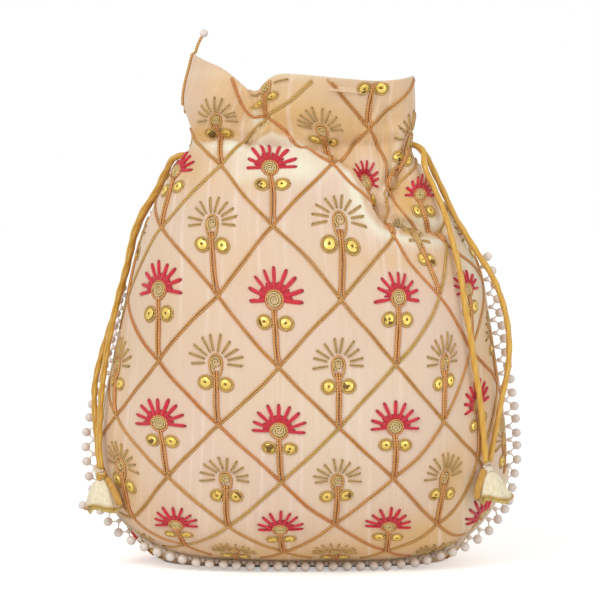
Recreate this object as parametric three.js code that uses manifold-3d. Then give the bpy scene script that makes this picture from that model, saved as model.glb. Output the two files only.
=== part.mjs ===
// A potli: an embroidered drawstring pouch that stands, stuffed, on its flattened bottom.
// Millimetres, +Z up, the front faces -Y. The outside is two silk panels that meet in a U-shaped
// seam, edged with pearl lace. A lining hangs inside them, and between the two, round the neck,
// runs the casing with two drawcords. Each cord leaves at one side and ends in a cloth bell.
import * as THREE from 'three';
import { mergeVertices } from 'three/addons/utils/BufferGeometryUtils.js';
import Module from 'manifold-3d';

const wasm = await Module();
wasm.setup();

// Cloth and clearances
const SILK = 1.0;
const LINING = 0.8;
const GAP = 0.3;

// Main sizes of the bag
const BELLY_HALF = 85.5;
const SHOULDER_HALF = 64.5;
const NECK_HALF = 46;
const RUFFLE_HALF = 48;
const BELLY_FRONT = 55.5;
const BELLY_BACK = 49;
const NECK_FRONT = 21;
const NECK_BACK = 20;
const MOUTH_FRONT = 27;
const MOUTH_BACK = 29;
const NECK_HEIGHT = 176.5;
const HEM_HEIGHT = 205;
const HEM_PEAK = 214;
const BACK_HEM_HEIGHT = 190.5;
const SEAM_HEIGHT = 3.4;
const SEAM_FORWARD = 22;
const CORNER_HEIGHT = 30;

// Stations of the bag from the bottom seam up to the hem: where the left and right seams lie
// (x, y, z), and the middle of the front and of the back (y, z). The floor flattens what is
// below it.
const STATIONS = [
  {
    left: [2.5 - BELLY_HALF, 1, CORNER_HEIGHT],
    right: [BELLY_HALF - 2.5, 6, CORNER_HEIGHT - 2],
    front: [-SEAM_FORWARD, SEAM_HEIGHT],
    back: [-SEAM_FORWARD, SEAM_HEIGHT],
  },
  { left: [-BELLY_HALF, 1, 42], right: [BELLY_HALF, 5, 40], front: [-37, 9.5], back: [2, -8] },
  { left: [-BELLY_HALF, 2, 54], right: [BELLY_HALF, 2, 52], front: [-47, 23], back: [26, -8] },
  {
    left: [-0.971 * BELLY_HALF, 4, 68],
    right: [0.982 * BELLY_HALF, 0, 66],
    front: [-53.5, 43.5],
    back: [42, 9],
  },
  {
    left: [-0.93 * BELLY_HALF, 9, 86],
    right: [0.947 * BELLY_HALF, 0, 85],
    front: [-BELLY_FRONT, 68],
    back: [BELLY_BACK, 36],
  },
  {
    left: [-0.883 * BELLY_HALF, 11, 105],
    right: [0.912 * BELLY_HALF, 0, 104],
    front: [-52.5, 94],
    back: [48.5, 68],
  },
  {
    left: [-0.83 * BELLY_HALF, 11, 125],
    right: [0.865 * BELLY_HALF, 2, 125],
    front: [-46, 120.5],
    back: [43.5, 102],
  },
  {
    left: [-SHOULDER_HALF, 8, 146],
    right: [SHOULDER_HALF - 1, 4, 146],
    front: [-36, 145],
    back: [34.5, 134],
  },
  { left: [-54, 3, 166], right: [53, 1, 162], front: [-26, 164], back: [24.5, 160] },
  {
    left: [-NECK_HALF, 0, NECK_HEIGHT + 1.5],
    right: [NECK_HALF, 0, NECK_HEIGHT - 2],
    front: [-NECK_FRONT, NECK_HEIGHT],
    back: [NECK_BACK, NECK_HEIGHT],
  },
  {
    left: [-RUFFLE_HALF - 1.5, 0, NECK_HEIGHT + 18],
    right: [RUFFLE_HALF - 0.5, 0, NECK_HEIGHT + 14.5],
    front: [-23.5, NECK_HEIGHT + 14.5],
    back: [22, NECK_HEIGHT + 7.5],
  },
  {
    left: [2.5 - RUFFLE_HALF, 0, HEM_PEAK],
    right: [RUFFLE_HALF - 1, 0, HEM_HEIGHT],
    front: [-MOUTH_FRONT, HEM_HEIGHT],
    back: [MOUTH_BACK, BACK_HEM_HEIGHT],
  },
];
const TOP = STATIONS.length - 1;
const NECK = 9;

// How round each level is, and how sharply its ends rise to the seams near the bottom
const ROUNDNESS = 0.85;
const END_RISE = 5;

// Folds, each along a line of points (x, z): a groove where depth is positive, else a swell
const FRONT_FOLDS = [
  { along: [[40, 178], [39, 168], [35, 158.5], [32, 151]], width: 3, depth: 4.4 },
  { along: [[27, 163], [29, 154.5], [35, 146.5], [41, 143], [60, 139.5]], width: 3.2, depth: 3.5 },
  { along: [[20, 160], [22, 151], [30, 140], [38, 136], [58, 132]], width: 6, depth: -2 },
  { along: [[-44, 178.5], [-30, 178.5], [-20, 176], [0, 175.5], [34, 176]], width: 3.5, depth: 2.5 },
  { along: [[-44, 174], [-52, 160], [-58, 148]], width: 5, depth: 2 },
  { along: [[-12, 172], [-14, 160], [-16, 150]], width: 6, depth: 1.2 },
];
const BACK_FOLDS = [
  { along: [[-40, 174], [-44, 162], [-50, 148]], width: 4, depth: 3 },
  { along: [[-20, 176], [-22, 160], [-26, 140]], width: 4.5, depth: 3.5 },
  { along: [[2, 176], [2, 158], [3, 138]], width: 5, depth: 3 },
  { along: [[22, 176], [24, 160], [29, 140]], width: 4.5, depth: 3.5 },
  { along: [[38, 174], [43, 162], [49, 150]], width: 4, depth: 3 },
];
// The large waves of the ruffle, which the lining follows
const FRONT_WAVES = [
  { along: [[-23.5, 206], [-24, 192], [-24, 187]], width: 6, depth: 5 },
  { along: [[-38, 208], [-37, 190]], width: 7, depth: -2.5 },
  { along: [[8, 208], [4, 191]], width: 14, depth: -3 },
  { along: [[34, 206], [37, 188]], width: 5, depth: 3 },
];
const BACK_WAVES = [
  { along: [[-28, 196], [-27, 187]], width: 6, depth: 4 },
  { along: [[-12, 196], [-12, 189]], width: 7, depth: -2.5 },
  { along: [[4, 196], [3, 187]], width: 6, depth: 4 },
  { along: [[19, 196], [18, 189]], width: 7, depth: -2.5 },
  { along: [[33, 196], [31, 187]], width: 6, depth: 3.5 },
];
// The dip of the front hem beside its left peak
const HEM_DIP = { at: -22, width: 8, drop: 9 };

// Facets: columns of each panel, and rows between one station and the next
const COLUMNS = 18;
const ROWS = [2, 2, 2, 2, 2, 2, 2, 2, 1, 2, 3];
const LINING_ROWS = [2, 1, 1, 1, 1, 1, 1, 1, 2, 2, 3];

// Drawcords
const CORD = 2.8;
const LEFT_CORD_Z = 171.8;
const RIGHT_CORD_Z = 176.2;
const CREASE_ROOM = 5.4;
const CORD_INSET = SILK + CREASE_ROOM + GAP + CORD / 2;
const SLOT_HALF = CORD + 0.15 + 4 * GAP;

// Embroidery: half the width and height of a diamond, and the height of the first row of knots
const HALF_PITCH = 0.3 * BELLY_HALF;
const ROW_PITCH = 27.4;
const FIRST_ROW = 4;

const materials = {
  silk: new THREE.MeshStandardMaterial({ color: 0xe6ccae, roughness: 0.62, metalness: 0 }),
  lining: new THREE.MeshStandardMaterial({ color: 0xf0e0c8, roughness: 0.5, metalness: 0 }),
  zari: new THREE.MeshStandardMaterial({ color: 0xc79448, roughness: 0.4, metalness: 0.7 }),
  red: new THREE.MeshStandardMaterial({ color: 0xc81e32, roughness: 0.55, metalness: 0 }),
  pearl: new THREE.MeshStandardMaterial({ color: 0xece2d8, roughness: 0.25, metalness: 0 }),
  tape: new THREE.MeshStandardMaterial({ color: 0xf0e6d6, roughness: 0.8, metalness: 0 }),
  cord: new THREE.MeshStandardMaterial({ color: 0xd7a53c, roughness: 0.45, metalness: 0 }),
};

// The origin is in the middle of the footprint, which is behind the plane of the neck
const part = new THREE.Group();
const bag = new THREE.Group();
bag.position.y = 2.95;
part.add(bag);

function addMesh(name, geometry, material) {
  const mesh = new THREE.Mesh(geometry, material);
  mesh.name = name;
  bag.add(mesh);
  return mesh;
}

// Rails of the loft through the stations
const curveOf = (points) => new THREE.CatmullRomCurve3(points, false, 'centripetal');
const leftRail = curveOf(STATIONS.map((s) => new THREE.Vector3(...s.left)));
const rightRail = curveOf(STATIONS.map((s) => new THREE.Vector3(...s.right)));
const frontRail = curveOf(STATIONS.map((s) => new THREE.Vector3(0, ...s.front)));
const backRail = curveOf(STATIONS.map((s) => new THREE.Vector3(0, ...s.back)));

const SIDES = {
  front: { sign: -1, rail: frontRail, folds: FRONT_FOLDS, waves: FRONT_WAVES },
  back: { sign: 1, rail: backRail, folds: BACK_FOLDS, waves: BACK_WAVES },
};

function smooth(from, to, value) {
  const k = Math.min(1, Math.max(0, (value - from) / (to - from)));
  return k * k * (3 - 2 * k);
}

function distanceTo(line, x, z) {
  let best = Infinity;
  for (let i = 0; i + 1 < line.length; i += 1) {
    const [x0, z0] = line[i];
    const [dx, dz] = [line[i + 1][0] - x0, line[i + 1][1] - z0];
    const k = Math.min(1, Math.max(0, ((x - x0) * dx + (z - z0) * dz) / (dx * dx + dz * dz)));
    best = Math.min(best, Math.hypot(x - x0 - k * dx, z - z0 - k * dz));
  }
  return best;
}

function depthOf(folds, x, z) {
  return folds.reduce(
    (sum, fold) => sum + fold.depth * Math.exp(-((distanceTo(fold.along, x, z) / fold.width) ** 2)),
    0,
  );
}

// A point of the cloth: turn runs from -90 at the left seam to 90 at the right seam, and level
// from 0 at the bottom seam to TOP at the hem.
function clothPoint(side, turn, level, creased = true) {
  const { sign, rail, folds, waves } = SIDES[side];
  const left = leftRail.getPoint(level / TOP);
  const right = rightRail.getPoint(level / TOP);
  const middle = rail.getPoint(level / TOP);
  const angle = THREE.MathUtils.degToRad(turn);
  const across = Math.sin(angle);
  const chord = left.clone().lerp(right, (1 + across) / 2);
  const bulge = Math.max(0, Math.cos(angle)) ** ROUNDNESS;
  const rise = 1 - Math.abs(across) ** END_RISE;
  const x = chord.x;
  const fade = 1 - Math.abs(across) ** 6;
  let y = chord.y + (middle.y - (left.y + right.y) / 2) * bulge;
  let z = chord.z + (middle.z - (left.z + right.z) / 2) * rise;
  if (side === 'front') {
    const dip = fade * Math.exp(-(((x - HEM_DIP.at) / HEM_DIP.width) ** 2));
    z -= HEM_DIP.drop * dip * smooth(NECK, TOP, level);
  }
  const inward = (depthOf(waves, x, z) + (creased ? depthOf(folds, x, z) : 0)) * fade;
  const halfWidth = (right.x - left.x) / 2;
  const halfDepth = Math.max(10, Math.abs(middle.y));
  const out = new THREE.Vector2(across / halfWidth, (sign * Math.cos(angle)) / halfDepth).normalize();
  y -= out.y * inward;
  return new THREE.Vector3(x - out.x * inward, y, Math.max(0, z));
}

// The outward direction of the cloth. The two panels share it along their seam.
function clothNormal(side, turn, level, creased = true) {
  const { sign } = SIDES[side];
  const up = Math.min(TOP, level + 0.02);
  const down = Math.max(0, level - 0.02);
  if (Math.abs(turn) > 89.9) {
    const rail = turn < 0 ? leftRail : rightRail;
    const along = rail.getPoint(up / TOP).sub(rail.getPoint(down / TOP));
    return along.cross(new THREE.Vector3(0, Math.sign(turn), 0)).normalize().negate();
  }
  const along = clothPoint(side, turn, up, creased).sub(clothPoint(side, turn, down, creased));
  const across = clothPoint(side, Math.min(89, turn + 0.5), level, creased);
  across.sub(clothPoint(side, Math.max(-89, turn - 0.5), level, creased));
  return across.cross(along).multiplyScalar(-sign).normalize();
}

function edgeNormal(side, turn, level, creased) {
  const own = clothNormal(side, turn, level, creased);
  if (level > 0 || Math.abs(turn) > 89.9) return own;
  const other = clothNormal(side === 'front' ? 'back' : 'front', turn, level, creased);
  return own.add(other).normalize();
}

function levelsOf(rows) {
  const levels = [0];
  rows.forEach((count, span) => {
    for (let i = 1; i <= count; i += 1) levels.push(span + i / count);
  });
  return levels;
}

// A closed geometry from corner points, three to a face
function closed(points) {
  const geometry = new THREE.BufferGeometry();
  geometry.setAttribute('position', new THREE.Float32BufferAttribute(points.flatMap((p) => p.toArray()), 3));
  return mergeVertices(geometry, 1e-4);
}

// Faces of a grid of points, seen from the side that its rows and columns turn towards
function gridFaces(grid, flip, faces) {
  for (let i = 0; i + 1 < grid.length; i += 1) {
    for (let j = 0; j + 1 < grid[i].length; j += 1) {
      const [a, b, c, d] = [grid[i][j], grid[i][j + 1], grid[i + 1][j + 1], grid[i + 1][j]];
      const even = (i + j) % 2 === 0;
      const two = even ? [a, b, c, a, c, d] : [a, b, d, b, c, d];
      if (flip) two.reverse();
      faces.push(...two);
    }
  }
  return faces;
}

// The wall between two grids along one edge
function wallFaces(outer, inner, flip, faces) {
  for (let i = 0; i + 1 < outer.length; i += 1) {
    const two = [outer[i], inner[i], outer[i + 1], outer[i + 1], inner[i], inner[i + 1]];
    if (flip) two.reverse();
    faces.push(...two);
  }
}

// The level at which a seam reaches a height
function levelAt(rail, z) {
  let [low, high] = [0, TOP];
  for (let i = 0; i < 40; i += 1) {
    const middle = (low + high) / 2;
    if (rail.getPoint(middle / TOP).z < z) low = middle;
    else high = middle;
  }
  return (low + high) / 2;
}

// Each cord leaves through an open stretch of a side seam
const SLOT_RISE = CORD / 2 + 2 * GAP;
const slotEnds = (rail, z) => [levelAt(rail, z - SLOT_RISE), levelAt(rail, z + SLOT_RISE)];
const SLOTS = {
  left: slotEnds(leftRail, LEFT_CORD_Z),
  right: slotEnds(rightRail, RIGHT_CORD_Z),
};

function slotTurn(level, turn, side) {
  const [low, high] = turn < 0 ? SLOTS.left : SLOTS.right;
  if (level < low || level > high) return turn;
  const depth = Math.abs(SIDES[side].rail.getPoint(level / TOP).y);
  return Math.sign(turn) * THREE.MathUtils.radToDeg(Math.acos((SLOT_HALF / depth) ** (1 / ROUNDNESS)));
}

const PANEL_LEVELS = [...levelsOf(ROWS), ...SLOTS.left, ...SLOTS.right].sort((a, b) => a - b);

function panelGrids(side, outside, inside) {
  const { sign } = SIDES[side];
  const levels = PANEL_LEVELS;
  const grids = [outside, inside].map(() => levels.map(() => []));
  levels.forEach((level, i) => {
    for (let j = 0; j <= COLUMNS; j += 1) {
      let turn = -90 + (180 * j) / COLUMNS;
      const atSeam = j === 0 || j === COLUMNS;
      if (atSeam) turn = slotTurn(level, turn, side);
      const point = clothPoint(side, turn, level);
      if (atSeam && Math.abs(turn) > 89.9) point.y += (sign * GAP) / 2;
      if (i === 0 && !atSeam) {
        const step = clothPoint(side, turn, 0.05).sub(clothPoint(side, turn, 0)).setLength(GAP / 2);
        point.add(step);
      }
      const normal = edgeNormal(side, turn, level, true);
      grids[0][i].push(point.clone().addScaledVector(normal, outside));
      grids[1][i].push(point.clone().addScaledVector(normal, -inside));
    }
  });
  return grids;
}

function panelGeometry(side, outside, inside) {
  const [outer, inner] = panelGrids(side, outside, inside);
  const flip = side === 'back';
  const faces = gridFaces(outer, flip, []);
  gridFaces(inner, !flip, faces);
  const column = (grid, j) => grid.map((row) => row[j]);
  wallFaces(outer[0], inner[0], flip, faces);
  wallFaces(outer.at(-1), inner.at(-1), !flip, faces);
  wallFaces(column(outer, 0), column(inner, 0), !flip, faces);
  wallFaces(column(outer, COLUMNS), column(inner, COLUMNS), flip, faces);
  return closed(faces);
}

// The lining: a bag of its own, drawn in at the neck to leave the casing room for the cords
const LINING_ROOM = SILK + 1.8;
const CASING_ROOM = CORD_INSET + CORD / 2 + 2.2;
const HEM_ROOM = SILK + GAP;

const drawnIn = (level) => smooth(5.6, 7.6, level);

function liningInset(level) {
  const below = LINING_ROOM + (CASING_ROOM - LINING_ROOM) * drawnIn(level);
  return below + (HEM_ROOM - below) * smooth(NECK + 0.6, TOP, level);
}

// A point inside the cloth. At the casing the rows shrink evenly, elsewhere they keep their
// distance from the cloth.
function insidePoint(side, turn, level, inset) {
  const point = clothPoint(side, turn, level, false);
  const [left, right] = [leftRail.getPoint(level / TOP), rightRail.getPoint(level / TOP)];
  const across = (1 + Math.sin(THREE.MathUtils.degToRad(turn))) / 2;
  const seam = left.clone().lerp(right, across);
  const [middleX, halfWidth] = [(left.x + right.x) / 2, (right.x - left.x) / 2];
  const halfDepth = Math.abs(SIDES[side].rail.getPoint(level / TOP).y);
  const x = middleX + (point.x - middleX) * (1 - inset / halfWidth);
  const y = seam.y + (point.y - seam.y) * (1 - inset / halfDepth);
  const shrunk = new THREE.Vector3(x, y, point.z);
  const offset = point.addScaledVector(edgeNormal(side, turn, level, false), -inset);
  return offset.lerp(shrunk, drawnIn(level) * (1 - smooth(NECK + 0.6, TOP, level)));
}

function liningSkin(extra) {
  const levels = levelsOf(LINING_ROWS);
  const skin = {};
  for (const side of ['front', 'back']) {
    skin[side] = levels.map((level) => {
      const row = [];
      for (let j = 0; j <= COLUMNS; j += 1) {
        const turn = -90 + (180 * j) / COLUMNS;
        row.push(insidePoint(side, turn, level, liningInset(level) + extra));
      }
      return row;
    });
  }
  return skin;
}

function liningGeometry() {
  const outer = liningSkin(0);
  const inner = liningSkin(LINING);
  const faces = [];
  for (const side of ['front', 'back']) {
    const flip = side === 'back';
    gridFaces(outer[side], flip, faces);
    gridFaces(inner[side], !flip, faces);
    wallFaces(outer[side].at(-1), inner[side].at(-1), !flip, faces);
  }
  return closed(faces);
}

addMesh('front_panel', panelGeometry('front', 0, SILK), materials.silk);
addMesh('back_panel', panelGeometry('back', 0, SILK), materials.silk);
addMesh('lining', liningGeometry(), materials.lining);

// Drawcords: the stretch inside the casing, and two strands that hang from each exit
const vectors = (points) => points.map((point) => new THREE.Vector3(...point));

function roundShape(radius, sides) {
  const points = Array.from({ length: sides }, (_, i) => {
    const angle = (2 * Math.PI * i) / sides;
    return new THREE.Vector2(radius * Math.cos(angle), radius * Math.sin(angle));
  });
  return new THREE.Shape(points);
}

function cordGeometry(points, step, radius = CORD / 2) {
  const curve = new THREE.CatmullRomCurve3(points, false, 'centripetal');
  const settings = { extrudePath: curve, steps: Math.round(curve.getLength() / step), bevelEnabled: false };
  return new THREE.ExtrudeGeometry(roundShape(radius, 8), settings);
}

function heldRoute(side, height) {
  const rail = side === 'left' ? leftRail : rightRail;
  const turns = [];
  for (let turn = -75; turn <= 90; turn += 15) turns.push(turn);
  const ring = [];
  const add = (panel, turn) => {
    let [low, high] = [5, TOP];
    for (let i = 0; i < 30; i += 1) {
      const middle = (low + high) / 2;
      if (clothPoint(panel, turn, middle, false).z < height) low = middle;
      else high = middle;
    }
    ring.push(insidePoint(panel, turn, low, CORD_INSET).setZ(height));
  };
  const sign = side === 'left' ? 1 : -1;
  turns.forEach((turn) => add('front', sign * turn));
  turns.slice(0, -1).reverse().forEach((turn) => add('back', sign * turn));
  const seam = rail.getPoint(levelAt(rail, height) / TOP);
  const half = CORD / 2 + GAP / 2;
  const leave = (y) => [1, 5].map((d) => new THREE.Vector3(seam.x + sign * d, seam.y + y, height));
  return [...leave(-half), ...ring, ...leave(half).reverse()];
}

const STRANDS = {
  cord_left_front: [
    [-49, 0, 171.8], [-51, 0, 171.6], [-53.8, 0.8, 170.4], [-57.6, 6.4, 165], [-62.5, 12, 155.5],
    [-67.2, 12.2, 148.5], [-71.2, 10, 139], [-74.4, 7, 124.3], [-77.7, 3.5, 111.7],
    [-80.2, 0.5, 99.5], [-82, -3.5, 89.5], [-83.6, -8.5, 76], [-84.4, -14.8, 61], [-84.2, -20, 49],
    [-83.2, -22, 42.2],
  ],
  cord_left_back: [
    [-49, 3.3, 171.8], [-51.2, 3.1, 171.7], [-54.4, 5.2, 170.4], [-57, 11.6, 165], [-61.8, 15.8, 155],
    [-66.5, 16.2, 148], [-70.8, 14, 138], [-74, 11.2, 124.3], [-77.8, 7.4, 110.5],
    [-81.4, 3.8, 98.5], [-84.8, -0.5, 87], [-87, -4.5, 76], [-86.8, -9.5, 64.5], [-85.6, -14, 54],
    [-84.6, -17.4, 45.5], [-84.2, -18.4, 42.2],
  ],
  cord_right_front: [
    [45.3, -1.6, 176.2], [47.2, -1.7, 176.2], [50.4, -4.8, 174], [51.2, -11.5, 167], [55.2, -13, 157.8],
    [58.8, -17.4, 149], [61.8, -23.8, 138], [64.9, -30.1, 124.3], [66.9, -33.9, 110.5], [69, -35.6, 98],
    [71, -35.4, 85], [73, -35, 72], [74.6, -33.6, 58], [75.6, -32, 46.2],
  ],
  cord_right_back: [
    [45.3, 1.6, 176.2], [47.4, 1.6, 176], [51.8, 0.6, 172], [56, -2.4, 163.5], [60.2, -4.8, 154.5],
    [63.6, -7.2, 146.8], [67.4, -10.5, 140.5], [73, -13.8, 131.5], [79, -15.4, 122], [83.4, -16, 111],
    [85.8, -17.4, 98.5], [85.6, -19.4, 85], [82.8, -22.6, 72], [79.9, -26.2, 58], [77.4, -28.9, 46.2],
  ],
};
const HELD_STEP = 9;
const FREE_STEP = 9.5;

addMesh('cord_left_held', cordGeometry(heldRoute('left', LEFT_CORD_Z), HELD_STEP), materials.cord);
addMesh('cord_right_held', cordGeometry(heldRoute('right', RIGHT_CORD_Z), HELD_STEP), materials.cord);
for (const [name, points] of Object.entries(STRANDS)) {
  addMesh(name, cordGeometry(vectors(points), FREE_STEP), materials.cord);
}

// Tassels: a cloth bell, open below, under a knob where the strands end
const BELL = { width: 16.5, depth: 11, height: 12.5, wall: 1.2, knob: 2.1 };

function bellGeometry(centre, tilt) {
  const { width, height, wall, knob } = BELL;
  const half = width / 2;
  const outline = [
    [0, knob * 1.6], [knob * 0.8, knob * 1.3], [knob, knob * 0.6], [knob * 0.75, 0],
    [half * 0.52, -height * 0.14], [half * 0.82, -height * 0.45], [half, -height],
    [half - wall, -height], [half * 0.82 - wall, -height * 0.5], [0, -height * 0.32],
  ];
  const points = outline.map(([r, z]) => new THREE.Vector2(r, z)).reverse();
  const geometry = new THREE.LatheGeometry(points, 12);
  geometry.scale(1, 1, BELL.depth / width);
  geometry.rotateX(Math.PI / 2);
  geometry.rotateY(THREE.MathUtils.degToRad(tilt));
  geometry.translate(...centre);
  return geometry;
}

addMesh('tassel_left', bellGeometry([-83.2, -22.7, 38.2], 6), materials.silk);
addMesh('tassel_right', bellGeometry([77, -30, 42.4], -14), materials.silk);

// Pearl lace along the seam, from the right shoulder round the bottom to the left shoulder
const BEAD = 4;
const BEAD_PITCH = 5.7;
const BEAD_OUT = 5.5;
const LACE_GAP = 1.1;
const LACE_TOP = { left: 5.6, right: 6.1 };

const WELD = 0.01;

function solidOf(geometry) {
  const plain = new THREE.BufferGeometry();
  plain.setAttribute('position', geometry.getAttribute('position').clone());
  if (geometry.index) plain.setIndex(geometry.index.clone());
  const merged = mergeVertices(plain, 1e-4);
  const vertProperties = new Float32Array(merged.getAttribute('position').array);
  const triVerts = new Uint32Array(merged.index.array);
  return new wasm.Manifold(new wasm.Mesh({ numProp: 3, vertProperties, triVerts }));
}

function geometryOf(solid) {
  const { vertProperties, triVerts } = solid.simplify(WELD).getMesh();
  const geometry = new THREE.BufferGeometry();
  geometry.setAttribute('position', new THREE.Float32BufferAttribute(vertProperties, 3));
  geometry.setIndex(new THREE.Uint32BufferAttribute(triVerts, 1));
  return geometry.toNonIndexed();
}

// Points of the seam with the direction in which the lace stands out from it
function seamPath() {
  const path = [];
  const along = (rail, turn, from, to) => {
    const steps = 24;
    for (let i = 0; i <= steps; i += 1) {
      const level = from + ((to - from) * i) / steps;
      const out = clothNormal('front', turn, level);
      const back = turn < 0 ? smooth(2.6, 4.4, level) : 0;
      out.y += 1.4 * back;
      path.push({ point: rail.getPoint(level / TOP), out: out.normalize() });
    }
  };
  along(rightRail, 90, LACE_TOP.right, 0);
  for (let turn = 87; turn >= -87; turn -= 3) {
    const point = clothPoint('front', turn, 0);
    const next = clothPoint('front', turn - 1, 0).sub(point);
    const flat = smooth(78, 40, Math.abs(turn));
    const out = new THREE.Vector3(next.z, 0, -next.x).normalize().multiplyScalar(-1 + flat);
    out.add(new THREE.Vector3(0, -flat, -0.24 * flat));
    path.push({ point, out: out.normalize() });
  }
  along(leftRail, -90, 0, LACE_TOP.left);
  return path;
}

function resample(path, step) {
  const result = [];
  let ahead = 0;
  for (let i = 0; i + 1 < path.length; i += 1) {
    const length = path[i].point.distanceTo(path[i + 1].point);
    while (ahead < length) {
      const k = ahead / length;
      const point = path[i].point.clone().lerp(path[i + 1].point, k);
      result.push({ point, out: path[i].out.clone().lerp(path[i + 1].out, k).normalize() });
      ahead += step;
    }
    ahead -= length;
  }
  return result;
}

function laceSolid() {
  const stations = resample(seamPath(), BEAD_PITCH);
  const beads = stations.map(({ point, out }) => {
    const centre = point.clone().addScaledVector(out, BEAD_OUT);
    centre.z = Math.max(centre.z, BEAD / 2 + 0.1);
    return centre;
  });
  const at = (distance) => stations.map(({ point, out }) => point.clone().addScaledVector(out, distance));
  const near = at(LACE_GAP);
  const far = at(BEAD_OUT - BEAD / 2 + 1.3);
  const solids = beads.map((centre) => {
    const bead = new THREE.IcosahedronGeometry(BEAD / 2, 0);
    bead.translate(...centre);
    return solidOf(bead);
  });
  const half = 0.25;
  const outer = [];
  const inner = [];
  stations.forEach(({ out }, i) => {
    const along = beads[Math.min(i + 1, beads.length - 1)].clone().sub(beads[Math.max(i - 1, 0)]);
    const thick = along.cross(out).setLength(half);
    outer.push([near[i].clone().sub(thick), far[i].clone().sub(thick)]);
    inner.push([near[i].clone().add(thick), far[i].clone().add(thick)]);
  });
  const faces = gridFaces(outer, false, []);
  gridFaces(inner, true, faces);
  const column = (grid, j) => grid.map((row) => row[j]);
  wallFaces(outer[0], inner[0], false, faces);
  wallFaces(outer.at(-1), inner.at(-1), true, faces);
  wallFaces(column(outer, 0), column(inner, 0), true, faces);
  wallFaces(column(outer, 1), column(inner, 1), false, faces);
  const tape = solidOf(closed(faces));
  return wasm.Manifold.union([tape, ...solids]);
}

addMesh('pearl_trim', geometryOf(laceSolid()), materials.pearl);

// The edging's end, with a pearl, that stands at the left corner of the hem
const TAIL = [[-44.6, 0.4, 214.6], [-43.8, -0.4, 217.4], [-42.4, -0.8, 220.4], [-41, -1, 222.8]];

function tailSolid() {
  const thread = solidOf(cordGeometry(vectors(TAIL), 2.4, 0.6));
  const pearl = new THREE.IcosahedronGeometry(1.8, 1);
  pearl.translate(...TAIL.at(-1));
  return thread.add(solidOf(pearl));
}

addMesh('edge_tail', geometryOf(tailSolid()), materials.pearl);

// Each cloth laid flat: how far up and how far across the crossings of its levels and turns
// are, in mm. Above the belly the rows stay level, below it they keep their length.
const TURN_STEP = 3;
const LEVEL_STEP = 0.1;
const BELLY_ROW = 4 / LEVEL_STEP;

function layFlat(side) {
  const rows = [];
  for (let i = 0; i <= TOP / LEVEL_STEP; i += 1) {
    const points = [];
    for (let turn = -90; turn <= 90; turn += TURN_STEP) {
      points.push(clothPoint(side, turn, i * LEVEL_STEP, false));
    }
    const across = [0];
    for (let j = 1; j < points.length; j += 1) {
      across.push(across[j - 1] + points[j].distanceTo(points[j - 1]));
    }
    rows.push({ points, across: across.map((a) => a - across[90 / TURN_STEP]) });
  }
  const middle = 90 / TURN_STEP;
  const step = (i, j) => rows[i].points[j].distanceTo(rows[i - 1].points[j]);
  let belly = 0;
  for (let i = 1; i <= BELLY_ROW; i += 1) belly += step(i, middle);
  rows[BELLY_ROW].up = rows[BELLY_ROW].points.map(() => belly);
  for (let i = BELLY_ROW; i > 0; i -= 1) rows[i - 1].up = rows[i].up.map((up, j) => up - step(i, j));
  for (let i = BELLY_ROW + 1; i < rows.length; i += 1) {
    rows[i].up = rows[i - 1].up.map((up) => up + step(i, middle));
  }
  return rows;
}

const FLAT = { front: layFlat('front'), back: layFlat('back') };

// Where a value falls in a rising list, as a fractional index, or null outside it
function indexOf(list, value) {
  const after = list.findIndex((entry) => entry > value);
  if (after < 1) return null;
  return after - 1 + (value - list[after - 1]) / (list[after] - list[after - 1]);
}

// Where a spot of the cloth comes to lie, or null off its edge. The neck gathers the cloth, so
// it is closer there, and the belly's rows sit a little low.
const GATHERED = 0.88;
const AXIS = { front: 2, back: -3 };
const SAG = { at: 110, width: 45, drop: 6 };
const HEM_ALLOWANCE = 1.5;
const FLOOR_CLEAR = 2.5;
const SEAM_CLEAR = 0.4;

function place(side, s, t) {
  const rows = FLAT[side];
  const up = t - SAG.drop * Math.exp(-(((t - SAG.at) / SAG.width) ** 2));
  let j = 90 / TURN_STEP;
  let i = 0;
  for (let round = 0; round < 8; round += 1) {
    const [j0, part] = [Math.floor(j), j - Math.floor(j)];
    const column = rows.map((row) => row.up[j0] + part * ((row.up[j0 + 1] ?? row.up[j0]) - row.up[j0]));
    i = indexOf(column, up);
    if (i === null) return null;
    const k = i - Math.floor(i);
    const tightness = 1 - (1 - GATHERED) * smooth(5, NECK, i * LEVEL_STEP);
    const [low, high] = [rows[Math.floor(i)].across, rows[Math.min(rows.length - 1, Math.floor(i) + 1)].across];
    const across = low.map((a, n) => a + k * (high[n] - a));
    const reach = (s + AXIS[side]) * tightness;
    if (reach < across[0] + HEM_ALLOWANCE || reach > across.at(-1) - HEM_ALLOWANCE) return null;
    j = indexOf(across, reach);
  }
  const spot = { turn: -90 + TURN_STEP * j, level: i * LEVEL_STEP };
  const isHidden = spot.level < SEAM_CLEAR || clothPoint(side, spot.turn, spot.level).z < FLOOR_CLEAR;
  return isHidden ? null : spot;
}

// The faceted outside of a panel at a spot, raised by a height
const SKINS = Object.fromEntries(['front', 'back'].map((side) => [side, panelGrids(side, 0, SILK)[0]]));

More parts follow.
